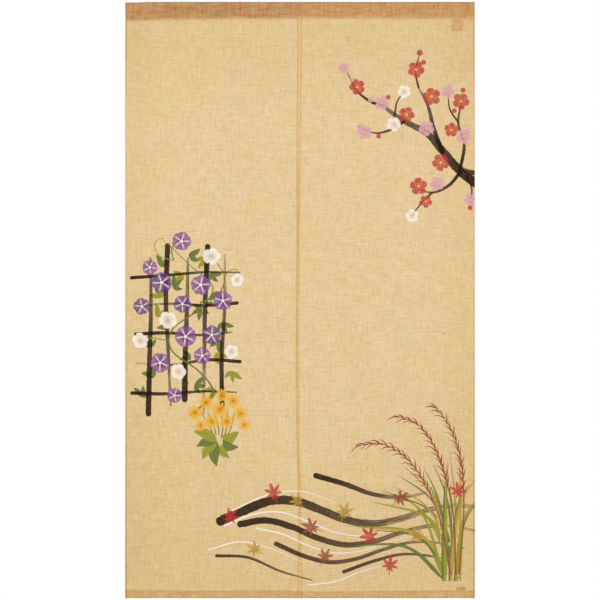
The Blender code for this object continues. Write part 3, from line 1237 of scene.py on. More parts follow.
@dataclass(frozen=True)
class Watercolour:
    """Petals and leaves in opaque watercolour: deeper at the rim and the heart, parted, with stamens.

    A ramp's measure is a distance as a share of the bloom's radius, a wave round it, or noise from 0 to 1.
    """

    name: str = "watercolour_bloom"
    grain: float = 2.4
    edge_swing: float = 0.34
    edge_least: float = -0.2
    cover: Ramp = Ramp(-0.015, 0.035)
    rim: Ramp = Ramp(0.0, 0.14, 0.30, 0.0)
    deep: Ramp = Ramp(0.1, 0.75, 0.38, 0.0)
    shade: str = "#AD959E"
    pale: Ramp = Ramp(0.4, 0.75, 0.0, 0.2)
    between: Ramp = Ramp(0.03, 0.16, 0.6, 0.0)
    outer: Ramp = Ramp(0.2, 0.45)
    parting: float = 3.0
    ray_power: float = 14.0
    ray_fade: Ramp = Ramp(0.45, 1.0, 1.0, 0.1)
    ray_colour: str = "#EFE5D4"
    heart_edge: Ramp = Ramp(-0.03, 0.03)
    stamens: Ramp = Ramp(0.45, 0.9)
    ring_out: float = 2.1
    ring: Ramp = Ramp(0.03, 0.09, 0.8, 0.0)
    soaked: Ramp = Ramp(0.0, 1.0, 1.0, 0.42)
    woven: Ramp = Ramp(0.8, 1.3, 0.95, 1.0)

    def group(self) -> Tree:
        """Draws one layer of blooms: petals, their edges and rays, a heart and a ring of stamens.

        The outline's distance from the middle is 1 less a notch between petals, where a wave raised to
        a power is low. The wave is |cos(petals x angle / 2)|, or 1 - |sin| of the same for a power below
        0, which gives points. Rays lie where the cosine is near 1.

        Returns:
            The node group, from what is under it and a bloom's values to the colour.
        """
        given = {"Under": "Color", "Behind": "Float", "Weave": "Float", "Place": "Vector", "Shape": "Vector"}
        given |= {"Rays": "Float", "Tint": "Color", "Strength": "Float", "Heart": "Color", "Core": "Float"}
        tree, sockets = node_group(self.name, given, {"Colour": "Color"})
        under, behind, weave, place, shape, rays, tint, strength, heart, core = sockets
        put = partial(add, tree)
        u, v, seed = put("SeparateXYZ", place).node.outputs
        petals, notch, power = put("SeparateXYZ", shape).node.outputs
        out = put("Math", put("Math", v, v, put("Math", u, u, **TIMES), **TIMES_PLUS), operation="SQRT")
        angle = put("Math", v, u, operation="ARCTAN2")
        phase = put("Math", angle, put("Math", petals, 0.5, **TIMES), **TIMES)
        swing = put("Math", put("Math", phase, operation="COSINE"), operation="ABSOLUTE")
        sway = put("Math", put("Math", phase, operation="SINE"), operation="ABSOLUTE")
        pointed = put("Math", power, 0.0, operation="LESS_THAN")
        lobe = put("Mix", pointed, swing, put("Math", 1.0, sway, **LESS))
        wave = put("Math", lobe, put("Math", power, operation="ABSOLUTE"), operation="POWER")
        edge = put("Math", 1.0, put("Math", put("Math", 1.0, wave, **LESS), notch, **TIMES), **LESS)
        grain = put("TexNoise", place, seed, self.grain, 3.0, noise_dimensions="4D")
        uneven = put("Math", grain, self.edge_swing, self.edge_least, **TIMES_PLUS)
        inside = put("Math", put("Math", edge, uneven, **PLUS), out, **LESS)
        rim, deep = put("MapRange", inside, *self.rim, **SMOOTH), put("MapRange", out, *self.deep, **SMOOTH)
        shaded = put("Mix", put("Math", rim, deep, **MOST), tint, linear(self.shade), **TINTED)
        washed = put("Mix", put("MapRange", grain, *self.pale), shaded, under, **MIXED)
        parted = put("MapRange", swing, *self.between, **SMOOTH)
        for factor in (put("MapRange", out, *self.outer, **SMOOTH), notch, self.parting):
            parted = put("Math", parted, factor, use_clamp=True, **TIMES)
        petalled = put("Mix", parted, washed, under, **MIXED)
        ray = put("Math", swing, self.ray_power, operation="POWER")
        for factor in (put("MapRange", out, *self.ray_fade, **SMOOTH), rays):
            ray = put("Math", ray, factor, **TIMES)
        starred = put("Mix", ray, petalled, linear(self.ray_colour), **MIXED)
        middle = put("MapRange", put("Math", core, out, **LESS), *self.heart_edge, **SMOOTH)
        stamen = put("Math", put("Math", phase, 2.0, **TIMES), operation="COSINE")
        off_ring = put("Math", out, put("Math", core, self.ring_out, **TIMES), **LESS)
        ring = put("MapRange", put("Math", off_ring, operation="ABSOLUTE"), *self.ring, **SMOOTH)
        dots = put("Math", ring, put("MapRange", stamen, *self.stamens, **SMOOTH), **TIMES)
        flower = put("Mix", put("Math", middle, dots, **MOST), starred, heart, **MIXED)
        seen = put("MapRange", inside, *self.cover, **SMOOTH)
        for factor in (strength, put("MapRange", behind, *self.soaked), put("MapRange", weave, *self.woven)):
            seen = put("Math", seen, factor, **TIMES)
        put("NodeGroupOutput", put("Mix", seen, under, flower, **MIXED))
        return tree


@dataclass
class Painting:
    """What is painted on the cloth, in the order in which it was painted.

    Each face of the cloth keeps, in a few layers, where its corners lie along and across the stroke
    that passes over it, or out from the middle of the bloom there. A shader draws from that, so a
    stroke is as sharp as it should be, whatever the size of the faces. A motif goes into the first
    layer above those that it crosses.
    """

    strokes: list[Stroke]
    blooms: list[Bloom]
    margin: float = 3.6 * MM
    seed_step: float = 3.7

    def __post_init__(self) -> None:
        """Makes the node group that draws one layer of each kind."""
        self.groups = ((STROKE, Ink().group()), (BLOOM, Watercolour().group()))

    def onto(self, sheet: Sheet, x: Array, drop: Array, bare: Array) -> None:
        """Lays the painting's places on one sheet of cloth.

        Args:
            sheet: The cloth.
            x: Where each of its grid points is across the noren.
            drop: The drop of each.
            bare: True for the grid points that are turned away, which have no painting.
        """
        corners = np.stack([x.ravel(), drop.ravel()], axis=-1)[sheet.quads]
        painted = np.flatnonzero(~bare.ravel()[sheet.quads].any(axis=1))
        middle = corners[painted].mean(axis=1)
        for kind, motifs in ((STROKE, self.strokes), (BLOOM, self.blooms)):
            layers = Layers(kind, len(corners))
            for number, motif in enumerate(motifs):
                near = painted[motif.touches(middle, self.margin)]
                layers.put(near, **motif.values(corners[near], number * self.seed_step))
            layers.keep(sheet)

    def over(self, tree: Tree, colour: Socket, height: Socket) -> Socket:
        """Adds the painting's layers over a colour.

        Args:
            tree: The nodes of the cloth's material.
            colour: The colour of the bare cloth.
            height: The height of its threads, which break the paint.

        Returns:
            The colour on top.
        """
        behind = add(tree, "Attribute", out="Fac", attribute_name="behind")
        for kind, group in self.groups:
            for layer in range(kind.count):
                values = kind.sockets(tree, layer)
                colour = add(tree, "Group", colour, behind, height, *values, node_tree=group)
        return colour


INK, SOFT_INK = "#291409", "#4E3425"
RED, PINK, WHITE = "#C33B3C", "#DDA6B4", "#FAF1E4"
PURPLE, DEEP_PURPLE = "#8A4E93", "#683A80"
GREEN, OLIVE, OCHRE, RUSSET = "#6E7A3C", "#9C9A36", "#C29F45", "#A0523A"
YELLOW, ORANGE = "#F2B72C", "#D5722B"
LEAF_BOW, LEAF_WIDTH, LEAF_RIB = 0.1, 0.44, 0.8


def leaf(x: float, drop: float, long: float, turn: float, colour: str) -> Stroke:
    """One pointed leaf with a rib, a little bowed.

    Args:
        x: Where its foot is across the noren, in millimetres.
        drop: The foot's drop.
        long: The leaf's length.
        turn: Its angle down from straight across, in degrees.
        colour: Its colour.

    Returns:
        The stroke.
    """
    way = np.array([math.cos(math.radians(turn)), math.sin(math.radians(turn))])
    side = np.array([-way[1], way[0]]) * LEAF_BOW * long
    foot = np.array([x, drop])
    places = (foot, foot + way * long * 0.5 + side, foot + way * long)
    line = tuple((float(across), float(down)) for across, down in places)
    return Stroke(line, LEAF_WIDTH * long, colour, Tip.LEAF, rib=LEAF_RIB)


def plum_bough() -> Motif:
    """A flowering plum bough that comes in over the right-hand edge, high on the right-hand length.

    Returns:
        Its strokes and its blooms.
    """
    bough = [
        Stroke(((404, 428), (374, 462), (332, 480), (292, 468)), 9, INK, dryness=0.6),
        Stroke(((332, 480), (304, 508), (279, 542)), 5.5, SOFT_INK, dryness=0.3),
        Stroke(((402, 426), (413, 360), (398, 302), (410, 238)), 9, INK, dryness=0.65),
        Stroke(((399, 304), (377, 270), (372, 226)), 5, SOFT_INK),
        Stroke(((358, 376), (336, 318), (322, 262), (297, 214)), 12, INK, dryness=0.65),
        Stroke(((298, 216), (291, 176), (301, 130)), 5.5, SOFT_INK),
        Stroke(((264, 300), (228, 322), (188, 330), (150, 316)), 7, INK, dryness=0.6),
        Stroke(((238, 286), (244, 252), (262, 226)), 5, SOFT_INK),
        Stroke(((210, 262), (176, 250), (142, 222), (118, 176)), 8, INK, dryness=0.6),
        Stroke(((420, 441), (432, 470), (428, 512)), 6, SOFT_INK, dryness=0.5),
        Stroke(
            ((450, 462), (402, 425), (356, 372), (318, 330), (262, 300), (206, 260)), 23, INK, dryness=0.55
        ),
        Stroke(((452, 432), (416, 424), (384, 396)), 13, INK, dryness=0.8),
    ]
    flowers = (
        (292, 170, 44, RED, 10), (331, 238, 47, RED, 40), (268, 284, 42, RED, 5),
        (354, 404, 45, RED, 25), (298, 464, 46, RED, 50), (144, 214, 42, RED, 33),
        (405, 250, 44, RED, 12), (381, 322, 38, RED, 60), (318, 318, 42, PINK, 20),
        (206, 254, 40, PINK, 0), (162, 328, 38, PINK, 44), (413, 338, 40, PINK, 15),
        (344, 458, 38, PINK, 30), (372, 226, 36, PINK, 8), (430, 498, 36, PINK, 22),
        (236, 308, 38, WHITE, 12), (282, 538, 36, WHITE, 48), (262, 226, 36, WHITE, 26),
        (316, 502, 34, RED, 15), (110, 166, 30, PINK, 30),
    )
    buds = (
        (301, 128, 16, RED), (311, 152, 13, RED), (178, 246, 15, PINK), (150, 314, 14, PINK),
        (130, 196, 12, PINK), (388, 274, 13, RED), (198, 338, 13, RED), (410, 222, 13, RED),
        (428, 518, 13, RED), (222, 240, 12, RED),
    )
    blooms = [
        Bloom(x, drop, across, colour, notch=0.36, power=0.42, turn=turn, heart_share=0.15)
        for x, drop, across, colour, turn in flowers
    ]
    return bough, blooms + [Bloom(*bud, notch=0.0, heart_share=0.0) for bud in buds]


def wavy(start: float, end: float, drop: float, width: float, colour: str, dryness: float) -> Stroke:
    """A stroke across the cloth that rolls like water: a sine wave that flattens out to the right.

    Args:
        start: Where it starts across the noren, in millimetres.
        end: Where it ends.
        drop: The drop that it rolls about.
        width: The stroke's width.
        colour: Its colour.
        dryness: How soon the brush dries, from 0 to 1.

    Returns:
        The stroke.
    """
    x = np.linspace(start, end, max(4, round(abs(end - start) / 60)))
    places = drop + 26 * np.sin((x + drop) / 72) * np.clip(1.25 - x / 800, 0.4, 1.3)
    return Stroke(tuple(zip(x.tolist(), places.tolist())), width, colour, dryness=dryness)


def morning_glory() -> Motif:
    """Morning glories on a small bamboo fence, with chrysanthemums at its foot, on the left length.

    Returns:
        Its strokes and its blooms.
    """
    draw = np.random.default_rng(29)
    bars = [((-418 + 8 * (k % 2), 694 + 72 * k), (-150 - 12 * (k % 3), 682 + 74 * k)) for k in range(5)]
    bars += [((-382 + 49 * k, 640 - 22 * (k % 2)), (-376 + 45 * k, 1036 - 16 * (k % 3))) for k in range(5)]
    fence = []
    for number, ends in enumerate(bars):
        places = np.linspace(*ends, 4)[:: (-1) ** number] + draw.uniform(-6, 6, (4, 2))
        width = draw.uniform(9, 12) if number < 5 else draw.uniform(12, 17)
        fence.append(Stroke(tuple(map(tuple, places.tolist())), width, INK, dryness=draw.uniform(0.5, 0.75)))
    vine = [
        Stroke(tuple((-276 + 58 * math.sin(1.35 * k), 1040 - 54 * k) for k in range(9)), 4.6, GREEN),
        Stroke(((-318, 650), (-322, 620), (-298, 592)), 3.6, GREEN),
        Stroke(((-250, 756), (-206, 736), (-190, 690), (-222, 640)), 3.8, GREEN),
        Stroke(((-336, 852), (-376, 846), (-396, 872)), 3.6, OLIVE),
        Stroke(((-318, 650), (-352, 640), (-366, 612), (-350, 594), (-338, 608), (-348, 618)), 2.8, OLIVE),
        Stroke(((-190, 690), (-168, 672), (-152, 684), (-158, 700), (-170, 694)), 2.8, OLIVE),
    ]
    leaves = []
    for k in range(24):
        x, drop = -280 + (64 + 2.6 * k) * math.sin(2.4 * k), 636 + 15.5 * k
        for turn in (-52, 0, 52) if k % 2 else (-28, 28):
            leaves.append(leaf(x, drop, 33 - 5 * (k % 2), turn + 137.5 * k, (GREEN, OLIVE)[k % 3 == 1]))
    bends = [((-210, 1120), (-222 + 9 * k, 1080), (-250 + 17 * k, 1030)) for k in range(6)]
    stems = [Stroke(bend, 3.4, GREEN) for bend in bends]
    shoots = [leaf(-210, 1106, 62 - 5 * (k % 3), -24 + 38 * k, (OLIVE, GREEN)[k % 2]) for k in range(7)]
    trumpets = (
        (-298, 602, 50), (-348, 706, 54), (-250, 712, 52), (-288, 842, 56), (-222, 838, 50),
        (-352, 908, 52), (-194, 752, 50), (-296, 760, 46), (-246, 890, 44), (-378, 668, 40),
        (-398, 766, 44), (-316, 990, 40),
    )
    whites = (
        (-222, 640, 48), (-332, 800, 50), (-402, 852, 44), (-306, 930, 44), (-172, 880, 40),
        (-158, 700, 36),
    )
    mums = (
        (-264, 1034, 38), (-236, 1008, 38), (-202, 1026, 42), (-168, 1004, 38), (-222, 1056, 38),
        (-184, 1056, 38), (-150, 1036, 36), (-250, 1066, 30), (-196, 990, 34), (-140, 1064, 30),
    )
    purples = (PURPLE, DEEP_PURPLE, PURPLE)
    looks = {"notch": 0.12, "power": 0.6, "heart": WHITE, "heart_share": 0.15, "rays": 0.9}
    blooms = [Bloom(*each, purples[k % 3], turn=33 * k, **looks) for k, each in enumerate(trumpets)]
    looks = {"notch": 0.2, "power": 0.5, "heart": "#D9B84A", "heart_share": 0.14, "squash": 0.92}
    blooms += [Bloom(*each, WHITE, turn=25 * k, **looks) for k, each in enumerate(whites)]
    looks = {"petals": 11, "notch": 0.4, "power": 0.6, "heart": ORANGE, "heart_share": 0.2}
    blooms += [Bloom(*each, YELLOW, **looks) for each in mums]
    return leaves + fence + vine + stems + shoots, blooms


def stream() -> Motif:
    """A stream that carries maple leaves past a tuft of reeds, low on the right-hand length.

    Returns:
        Its strokes and its blooms.
    """
    water = [
        wavy(*each)
        for each in (
            (40, 330, 1222, 14, INK, 0.75), (110, 400, 1412, 9, SOFT_INK, 0.6),
            (-60, 410, 1380, 12, SOFT_INK, 0.7), (-150, 446, 1338, 17, INK, 0.8),
            (-200, 446, 1286, 24, INK, 0.75), (-210, 30, 1424, 8, SOFT_INK, 0.5),
            (-190, 226, 1316, 4.6, WHITE, 0.3), (-110, 290, 1358, 4, WHITE, 0.3),
            (-170, 90, 1262, 4.2, WHITE, 0.3), (-230, 10, 1392, 3.8, WHITE, 0.3),
            (20, 226, 1436, 3.6, WHITE, 0.3),
        )
    ]
    draw = np.random.default_rng(41)
    greens = (GREEN, OLIVE, OCHRE, GREEN, OLIVE)
    reeds = []
    for k in range(25):
        root = 362 + 5.0 * (k % 9) + draw.uniform(-3, 3)
        lean = -270 + 15 * k + draw.uniform(-14, 14)
        rise = 360 - abs(k - 14) * 13 + draw.uniform(-50, 30)
        tip = (root + lean, 1456 - rise + 40 * abs(lean) / 200)
        middle = (root + lean * draw.uniform(0.2, 0.42), 1456 - rise * 0.62)
        width = draw.uniform(8, 12.5)
        reeds.append(Stroke(((root, 1456), middle, tip), width, greens[k % 5], Tip.BLADE, 0.35, 0.5))
    plumes = [
        Stroke(((380, 1440), (348, 1290), (288, 1170), (214, 1114), (140, 1116)), 4.4, RUSSET),
        Stroke(((392, 1440), (384, 1280), (350, 1146), (300, 1066), (238, 1040)), 4.4, RUSSET),
        Stroke(((400, 1440), (412, 1280), (404, 1150), (372, 1060), (330, 1010)), 4.4, RUSSET),
    ]
    for stalk in tuple(plumes):
        curve = stalk.path()
        for number, share in enumerate(np.linspace(0.45, 0.97, 26)):
            at = int(share * (len(curve) - 1))
            x, drop = curve[at] / MM
            way = np.arctan2(*(curve[at] - curve[at - 1])[::-1]) + (-1) ** number * draw.uniform(0.22, 0.5)
            long = draw.uniform(28, 48) * (1.25 - 0.5 * share)
            end = (x + long * math.cos(way), drop + long * math.sin(way) + 0.3 * long)
            middle = (x + 0.5 * long * math.cos(way), drop + 0.5 * long * math.sin(way))
            plumes.append(Stroke(((x, drop), middle, end), draw.uniform(3.6, 5.4), RUSSET, Tip.BLADE))
    maples = (
        (-66, 1236, 48, RED, 250), (30, 1322, 50, RUSSET, 200), (112, 1284, 46, OCHRE, 290),
        (176, 1346, 52, RED, 230), (252, 1250, 46, RUSSET, 320), (296, 1342, 44, OCHRE, 190),
        (398, 1232, 44, RED, 260), (-112, 1378, 42, OCHRE, 210), (226, 1418, 46, RED, 275),
        (62, 1396, 42, RUSSET, 300), (-6, 1256, 38, OCHRE, 225), (-176, 1296, 44, RED, 310),
    )
    looks = {"petals": 7, "notch": 0.62, "power": -0.6, "lean": 0.25, "heart_share": 0.0}
    stems, leaves = [], []
    for x, drop, across, colour, turn in maples:
        way = np.array([math.cos(math.radians(turn)), math.sin(math.radians(turn))]) * across
        ends = tuple((float(x - share * way[0]), float(drop - share * way[1])) for share in (0.1, 0.4, 0.62))
        stems.append(Stroke(ends, 2.8, colour))
        leaves.append(Bloom(x, drop, across, colour, turn=turn, **looks))
    return water + stems + reeds + plumes, leaves


class Patch(NamedTuple):
    """A label behind the cloth as it shows through: its box in millimetres, and the tint it gives."""

    left: float
    top: float
    right: float
    foot: float
    tint: str


LABELS_BEHIND = (
    Patch(382.6, 45.0, 411.0, 58.6, "#EFE2D2"),
    Patch(379.6, 58.6, 409.6, 74.0, "#F3E1C8"),
    Patch(393.2, 1472.0, 416.4, 1480.8, "#E1CDAC"),
)


class Behind(Enum):
    """The layer behind, where cloth is doubled: its paler and yellower threads' tints, and how uneven."""

    LEFT_HEADING = ("#F8E4C8", "#D4A577", 0.7)
    RIGHT_HEADING = ("#F5E5CA", "#E2B081", 0.5)
    HEM = ("#FFFFF0", "#FADDC0", 0.45)


@dataclass(frozen=True, kw_only=True)
class Finish:
    """A cloth's finish: dry, with threads that stand up a little; each kind lays out its own pattern."""

    name: str
    bump: float
    bump_strength: float
    roughness: float
    specular: float = 0.5
    sheen: float = 0.0

    def pattern(self, tree: Tree) -> tuple[Socket, Socket]:
        """Lays out the nodes that give the colour, and the height of the threads."""
        raise NotImplementedError

    def dress(self, piece: bpy.types.Object) -> None:
        """Puts the finish on a piece.

        Args:
            piece: The piece, which has no material yet.
        """
        material = bpy.data.materials.new(self.name)
        material.use_nodes = True
        tree = material.node_tree
        inputs = tree.nodes["Principled BSDF"].inputs
        colour, height = self.pattern(tree)
        tree.links.new(colour, inputs["Base Color"])
        tree.links.new(add(tree, "Bump", self.bump_strength, self.bump, None, height), inputs["Normal"])
        inputs["Roughness"].default_value = self.roughness
        inputs["Specular IOR Level"].default_value = self.specular
        inputs["Sheen Weight"].default_value = self.sheen
        piece.data.materials.append(material)


@dataclass(frozen=True, kw_only=True)
class Hemp(Finish):
    """The cloth's finish, from its weave: dry and matt, and browner wherever two layers lie together.

    The cloth is sheer and hangs before a white ground, so whatever is behind it shows as a tint: the
    second layer of the heading and the hem, the other length's edge in the lap, and the labels. A piece
    without a painting is a heading, doubled all over.
    """

    weave: Tree
    behind: Behind
    painting: Painting | None = None
    patches: tuple[Patch, ...] = ()
    pale: str = "#F4DAB0"
    straw: str = "#E4C583"
    uneven: float = 0.27
    second_place: tuple[float, float, float] = (0.313, 0.127, 0.0)
    second_stretch: tuple[float, float, float] = (0.9, 0.5, 1.0)
    # the cloth turns yellower and a little darker towards its top, its foot and its outer edge
    yellower: str = "#F3EFE0"
    yellower_below: Ramp = Ramp(0.0, 300 * MM, 0.5, 0.0)
    yellower_inward: Ramp = Ramp(0.0, 130 * MM, 0.35, 0.0)
    yellower_above: float = 850 * MM
    yellower_foot: float = 0.5
    shadow_tint: str = "#FAF0E9"
    shadow: Ramp = Ramp(1.0 * MM, 8.0 * MM, 0.8, 0.0)
    hem: Ramp = Ramp(-0.6 * MM, 0.6 * MM)
    # painted shade where the cloth turns over, at the hem's foot and at the heading's top
    fold_shade_tint: str = "#F0DEC8"
    foot_fold_shade: Ramp = Ramp(1.2 * MM, 3.4 * MM, 1.0, 0.0)
    side_tint: str = "#EBD6B8"
    side: Ramp = Ramp(2.86 * MM, 5.5 * MM, 1.0, 0.0)
    side_share: Ramp = Ramp(0.1, 0.5, 0.28, 1.0)
    slit_tint: str = "#F6E8CC"
    slit_rise: Ramp = Ramp(0.0, 2.32 * MM, 0.4, 1.0)
    slit_fall: Ramp = Ramp(4.35 * MM, 7.25 * MM, 1.0, 0.0)
    lap_tint: str = "#F8EBCD"
    lap: Ramp = Ramp(-0.8 * MM, 0.8 * MM)
    sewn: Ramp = Ramp(1.5 * MM, 9.0 * MM, 0.3, 0.0)
    # the heading turns greyer and darker towards its top fold
    top_band_tint: str = "#B49A86"
    top_band: Ramp = Ramp(2 * MM, 18 * MM, 0.2, 0.0)
    # painted shade along the heading's top fold
    top_fold_shade: Ramp = Ramp(0.5 * MM, 3.5 * MM, 1.0, 0.0)
    soft_edge: float = 1.8 * MM
    bump: float = 0.10 * MM
    bump_strength: float = 0.35
    roughness: float = 0.88
    specular: float = 0.12
    sheen: float = 0.03

    def pattern(self, tree: Tree) -> tuple[Socket, Socket]:
        """Weaves both layers, and lays over them what shows through the cloth and what is painted on it.

        Args:
            tree: The material's nodes.

        Returns:
            The colour, and the height of the front layer's threads.
        """
        put = partial(add, tree)
        flat = put("UVMap", uv_map="Cloth")
        other = put("Mapping", flat, self.second_place, None, self.second_stretch)
        first = put("Group", flat, linear(self.pale), linear(self.straw), self.uneven, node_tree=self.weave)
        pale, straw, uneven = self.behind.value
        second = put("Group", other, linear(pale), linear(straw), uneven, node_tree=self.weave)
        height = first.node.outputs["Height"]
        if self.painting is None:
            return self.heading(put, first, second), height
        colour = self.panel(put, first, second)
        for patch in self.patches:
            colour = self.seen_through(put, colour, flat, patch)
        return self.painting.over(tree, colour, height), height

    def panel(self, put: Put, first: Socket, second: Socket) -> Socket:
        """One layer: yellower towards its ends, firmer selvedges, doubled in the hem and lap, a painted
        shadow under the heading and painted shade at the foot's fold.

        Args:
            put: Adds a node to the material.
            first: The front layer's colour.
            second: The tint of a layer behind.

        Returns:
            The panel's colour.
        """
        to_edges = put("Attribute", out="Vector", attribute_name="to_edges")
        to_turnings = put("Attribute", out="Vector", attribute_name="to_turnings")
        to_slit, to_side, to_lap = put("SeparateXYZ", to_edges).node.outputs
        below, in_hem, above_fold = put("SeparateXYZ", to_turnings).node.outputs
        near_top = put("MapRange", below, *self.yellower_below, **SMOOTH)
        start = put("Math", to_side, self.yellower_above, **LESS)
        near_foot = put("MapRange", in_hem, start, 0.0, 0.0, self.yellower_foot, **SMOOTH)
        ends = put("Math", near_top, near_foot, **MOST)
        near_side = put("MapRange", to_side, *self.yellower_inward, **SMOOTH)
        side = put("MapRange", to_side, *self.side, **SMOOTH)
        firmness = put("MapRange", ends, *self.side_share)
        rise, fall = (put("MapRange", to_slit, *ramp, **SMOOTH) for ramp in (self.slit_rise, self.slit_fall))
        lap = put("MapRange", to_lap, *self.lap, **SMOOTH)
        firm = put("Math", put("Math", rise, fall, **TIMES), lap, **MOST)
        colour = first
        for share, tint in (
            # yellower and a little darker towards the top, the foot and the outer edge
            (put("Math", ends, near_side, **PLUS), linear(self.yellower)),
            (put("MapRange", below, *self.shadow, **SMOOTH), linear(self.shadow_tint)),
            (put("MapRange", in_hem, *self.hem, **SMOOTH), second),
            # painted shade along the fold at the foot of the hem
            (put("MapRange", above_fold, *self.foot_fold_shade, **SMOOTH), linear(self.fold_shade_tint)),
            (put("Math", side, firmness, **TIMES), linear(self.side_tint)),
            (firm, put("Mix", lap, linear(self.slit_tint), linear(self.lap_tint), **MIXED)),
        ):
            colour = put("Mix", share, colour, tint, **TINTED)
        return colour

    def heading(self, put: Put, first: Socket, second: Socket) -> Socket:
        """Two layers all over, paler along the sewn edge, greyer and darker towards the top, with painted
        shade along the top fold.

        Args:
            put: Adds a node to the material.
            first: The front layer's colour.
            second: The tint of the layer behind.

        Returns:
            The heading's colour.
        """
        to_turnings = put("Attribute", out="Vector", attribute_name="to_turnings")
        above_foot, below_top, _ = put("SeparateXYZ", to_turnings).node.outputs
        sewn = put("MapRange", above_foot, *self.sewn, **SMOOTH)
        upper, fold = (put("MapRange", below_top, *ramp, **SMOOTH) for ramp in (self.top_band, self.top_fold_shade))
        colour = put("Mix", sewn, put("Mix", 1.0, first, second, **TINTED), first, **MIXED)
        # greyer and darker towards the top
        colour = put("Mix", upper, colour, linear(self.top_band_tint), **MIXED)
        # painted shade along the top fold
        return put("Mix", fold, colour, linear(self.fold_shade_tint), **TINTED)

    def seen_through(self, put: Put, colour: Socket, flat: Socket, patch: Patch) -> Socket:
        """Lays a label's tint over the colour in its box, where both coordinates from its middle are under 1.

        Args:
            put: Adds a node to the material.
            colour: The cloth's colour.
            flat: The cloth's flat coordinates.
            patch: The label.

        Returns:
            The colour with the label behind it.
        """
        middle = np.array([patch.left + patch.right, patch.top + patch.foot]) / 2 * MM
        half = np.array([patch.right - patch.left, patch.foot - patch.top]) / 2 * MM
        centred = put("VectorMath", flat, (*-middle, 0), **PLUS)
        scaled = put("VectorMath", centred, (*(1 / half), 0), **TIMES)
        sizes = put("SeparateXYZ", put("VectorMath", scaled, operation="ABSOLUTE")).node.outputs
        inside = [
            put("MapRange", size, 1 - soft, 1 + soft, 1.0, 0.0, **SMOOTH)
            for size, soft in zip(sizes, self.soft_edge / half)
        ]
        return put("Mix", put("Math", *inside, **TIMES), colour, linear(patch.tint), **TINTED)


@dataclass(frozen=True, kw_only=True)
class Cotton(Finish):
    """Cotton, matt and tone on tone: noise between two shades, which stands up where it is the darker one."""

    colour: str
    shade: str
    scale: tuple[float, float, float]
    detail: float
    spread: float
    flat: bool

    def pattern(self, tree: Tree) -> tuple[Socket, Socket]:
        """Lays the noise along the flat cloth, or through the space that the piece takes up.

        Args:
            tree: The material's nodes.

        Returns:
            The colour, and the noise as the height.
        """
        place = add(tree, "UVMap", uv_map="Cloth") if self.flat else add(tree, "TexCoord", out="Object")
        noise = add(tree, "TexNoise", add(tree, "Mapping", place, None, None, self.scale), 1.0, self.detail)
        share = add(tree, "MapRange", noise, 0.5 - self.spread, 0.5 + self.spread)
        return add(tree, "Mix", share, linear(self.colour), linear(self.shade), **MIXED), noise


@dataclass(frozen=True, kw_only=True)
class Tape(Cotton):
    """Close-woven cotton tape: finer and paler than the hemp, with a rib of 0.9 mm from edge to edge."""

    colour: str = "#C9B391"
    shade: str = "#B89F79"
    scale: tuple[float, float, float] = (0.25 / (0.9 * MM), 1 / (0.9 * MM), 1)
    detail: float = 2.0
    spread: float = 0.2
    flat: bool = True
    bump: float = 0.05 * MM
    bump_strength: float = 0.4
    roughness: float = 0.8


@dataclass(frozen=True, kw_only=True)
class Thread(Cotton):
    """Two-ply sewing thread, tone on tone with the cloth: plies of 0.7 mm, a little lighter or darker."""

    scale: tuple[float, float, float] = (1 / (0.7 * MM),) * 3
    detail: float = 1.0
    spread: float = 0.15
    flat: bool = False
    bump: float = 0.1 * MM
    bump_strength: float = 0.5
    roughness: float = 0.75


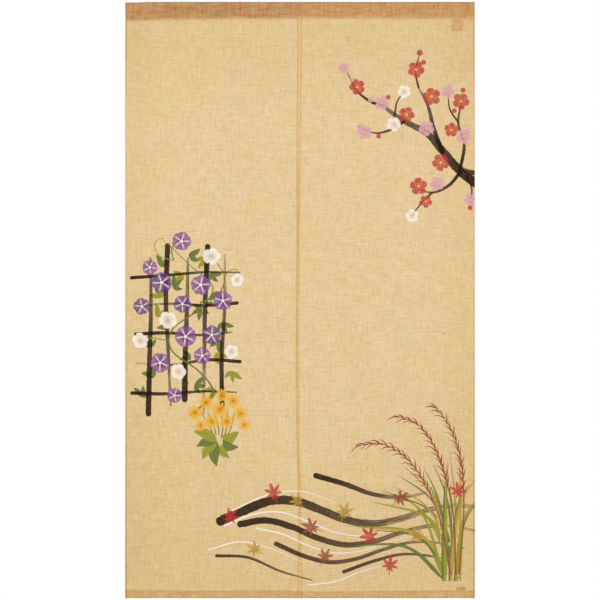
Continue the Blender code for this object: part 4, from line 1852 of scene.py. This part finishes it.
@dataclass
class Studio:
    """The surroundings: a white backdrop, a pale floor, one soft lamp and the camera."""

    hang: Hang
    picture_px: float = 600.0
    noren_px: float = 596.3
    distance: float = 9.0
    sensor: float = 36.0
    floor_drop: float = 1.86
    floor_radius: float = 1.7
    floor_middle: float = 0.02
    floor_rings: int = 12
    floor_sides: int = 96
    floor_colour: str = "#EFEDEB"
    floor_roughness: float = 0.9
    backdrop_light: float = 1.0
    lamp_power: float = 5.0
    lamp_size: float = 1.6
    lamp_place: tuple[float, float, float] = (-1.9, -2.6, 0.5)

    def camera(self) -> None:
        """Sets the camera straight in front of the cloth's middle, far away with a long lens."""
        data = bpy.data.cameras.new("camera")
        data.sensor_width = self.sensor
        data.lens = self.sensor * self.distance / (self.hang.drop * self.picture_px / self.noren_px)
        camera = bpy.data.objects.new("camera", data)
        camera.location = (0, -self.distance, -self.hang.drop / 2)
        camera.rotation_euler = (math.pi / 2, 0, 0)
        bpy.context.scene.collection.objects.link(camera)
        bpy.context.scene.camera = camera

    def light(self) -> None:
        """Lights the cloth from all round, and a little more from the upper left so that folds show."""
        world = bpy.data.worlds.new("studio")
        world.use_nodes = True
        ground = world.node_tree.nodes["Background"].inputs
        ground["Color"].default_value = (1, 1, 1, 1)
        ground["Strength"].default_value = self.backdrop_light
        bpy.context.scene.world = world
        data = bpy.data.lights.new("lamp", "AREA")
        data.size, data.energy = self.lamp_size, self.lamp_power
        lamp = bpy.data.objects.new("lamp", data)
        lamp.location = self.lamp_place
        aim = np.array([0, 0, -self.hang.drop / 2]) - np.array(self.lamp_place)
        lamp.rotation_euler = Vector(aim).to_track_quat("-Z", "Y").to_euler()
        bpy.context.scene.collection.objects.link(lamp)
        bpy.context.scene.view_settings.view_transform = "Standard"

    def floor(self) -> None:
        """Lays a pale round floor: rings of points out from the middle, on a polar grid."""
        rings = np.linspace(self.floor_middle, 1, self.floor_rings)[:, None] * self.floor_radius
        turn = np.linspace(0, 2 * math.pi, self.floor_sides + 1)[None, :]
        points = np.dstack([rings * np.cos(turn), rings * np.sin(turn), 0 * rings * turn - self.floor_drop])
        floor = mesh_object("floor", points.reshape(-1, 3), grid_faces(*points.shape[:2]))
        material = bpy.data.materials.new("pale_floor")
        material.use_nodes = True
        inputs = material.node_tree.nodes["Principled BSDF"].inputs
        inputs["Base Color"].default_value = linear(self.floor_colour)
        inputs["Roughness"].default_value = self.floor_roughness
        floor.data.materials.append(material)
        floor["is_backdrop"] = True


def main() -> None:
    """Loads the frame, builds and dresses each piece, and sets the studio round it."""
    logging.basicConfig(level=logging.INFO, format="%(name)s: %(message)s")
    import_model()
    hang = Hang()
    weave = Weave().group()
    motifs = [plum_bough(), morning_glory(), stream()]
    painting = Painting(*(sum(each, []) for each in zip(*motifs)))
    for side in Side:
        patches = LABELS_BEHIND if side is Side.RIGHT else ()
        doubled = Behind.RIGHT_HEADING if side is Side.RIGHT else Behind.LEFT_HEADING
        cloth = Panel(side, hang, painting).build()
        painted = {"painting": painting, "patches": patches}
        Hemp(name=f"{side.value}_plain_hemp", weave=weave, behind=Behind.HEM, **painted).dress(cloth)
        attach(cloth, BODY)
        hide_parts(f"{side.value}_panel")
        pocket = Heading(side, hang).build()
        Hemp(name=f"{side.value}_doubled_hemp", weave=weave, behind=doubled).dress(pocket)
        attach(pocket, BODY)
        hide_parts(f"{side.value}_heading")
        rows = Stitches(side, hang)
        for seam, deep, slot, colour, shade in (
            (Seam.HEADING, Heading.wall_pitch, "hemp_heading", "#B98A57", "#A97B4C"),
            (Seam.HEM, Panel.hem_pitch, "hemp_cloth", "#D2A771", "#C29864"),
        ):
            thread = rows.row(seam, deep)
            Thread(name=f"{side.value}_{seam.value}_cotton", colour=colour, shade=shade).dress(thread)
            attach(thread, BODY)
    care, hem = CareLabel().build(), HemLabel(hang).build()
    for tape, kind in ((care, "care"), (hem, "hem")):
        Tape(name=f"{kind}_cotton_tape").dress(tape)
        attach(tape, BODY)
        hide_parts(f"{kind}_label")
    studio = Studio(hang)
    studio.camera()
    studio.light()
    studio.floor()
    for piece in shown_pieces():
        log.info("%s: %d triangles", piece.name, sum(len(face.vertices) - 2 for face in piece.data.polygons))


if __name__ == "__main__":
    main()
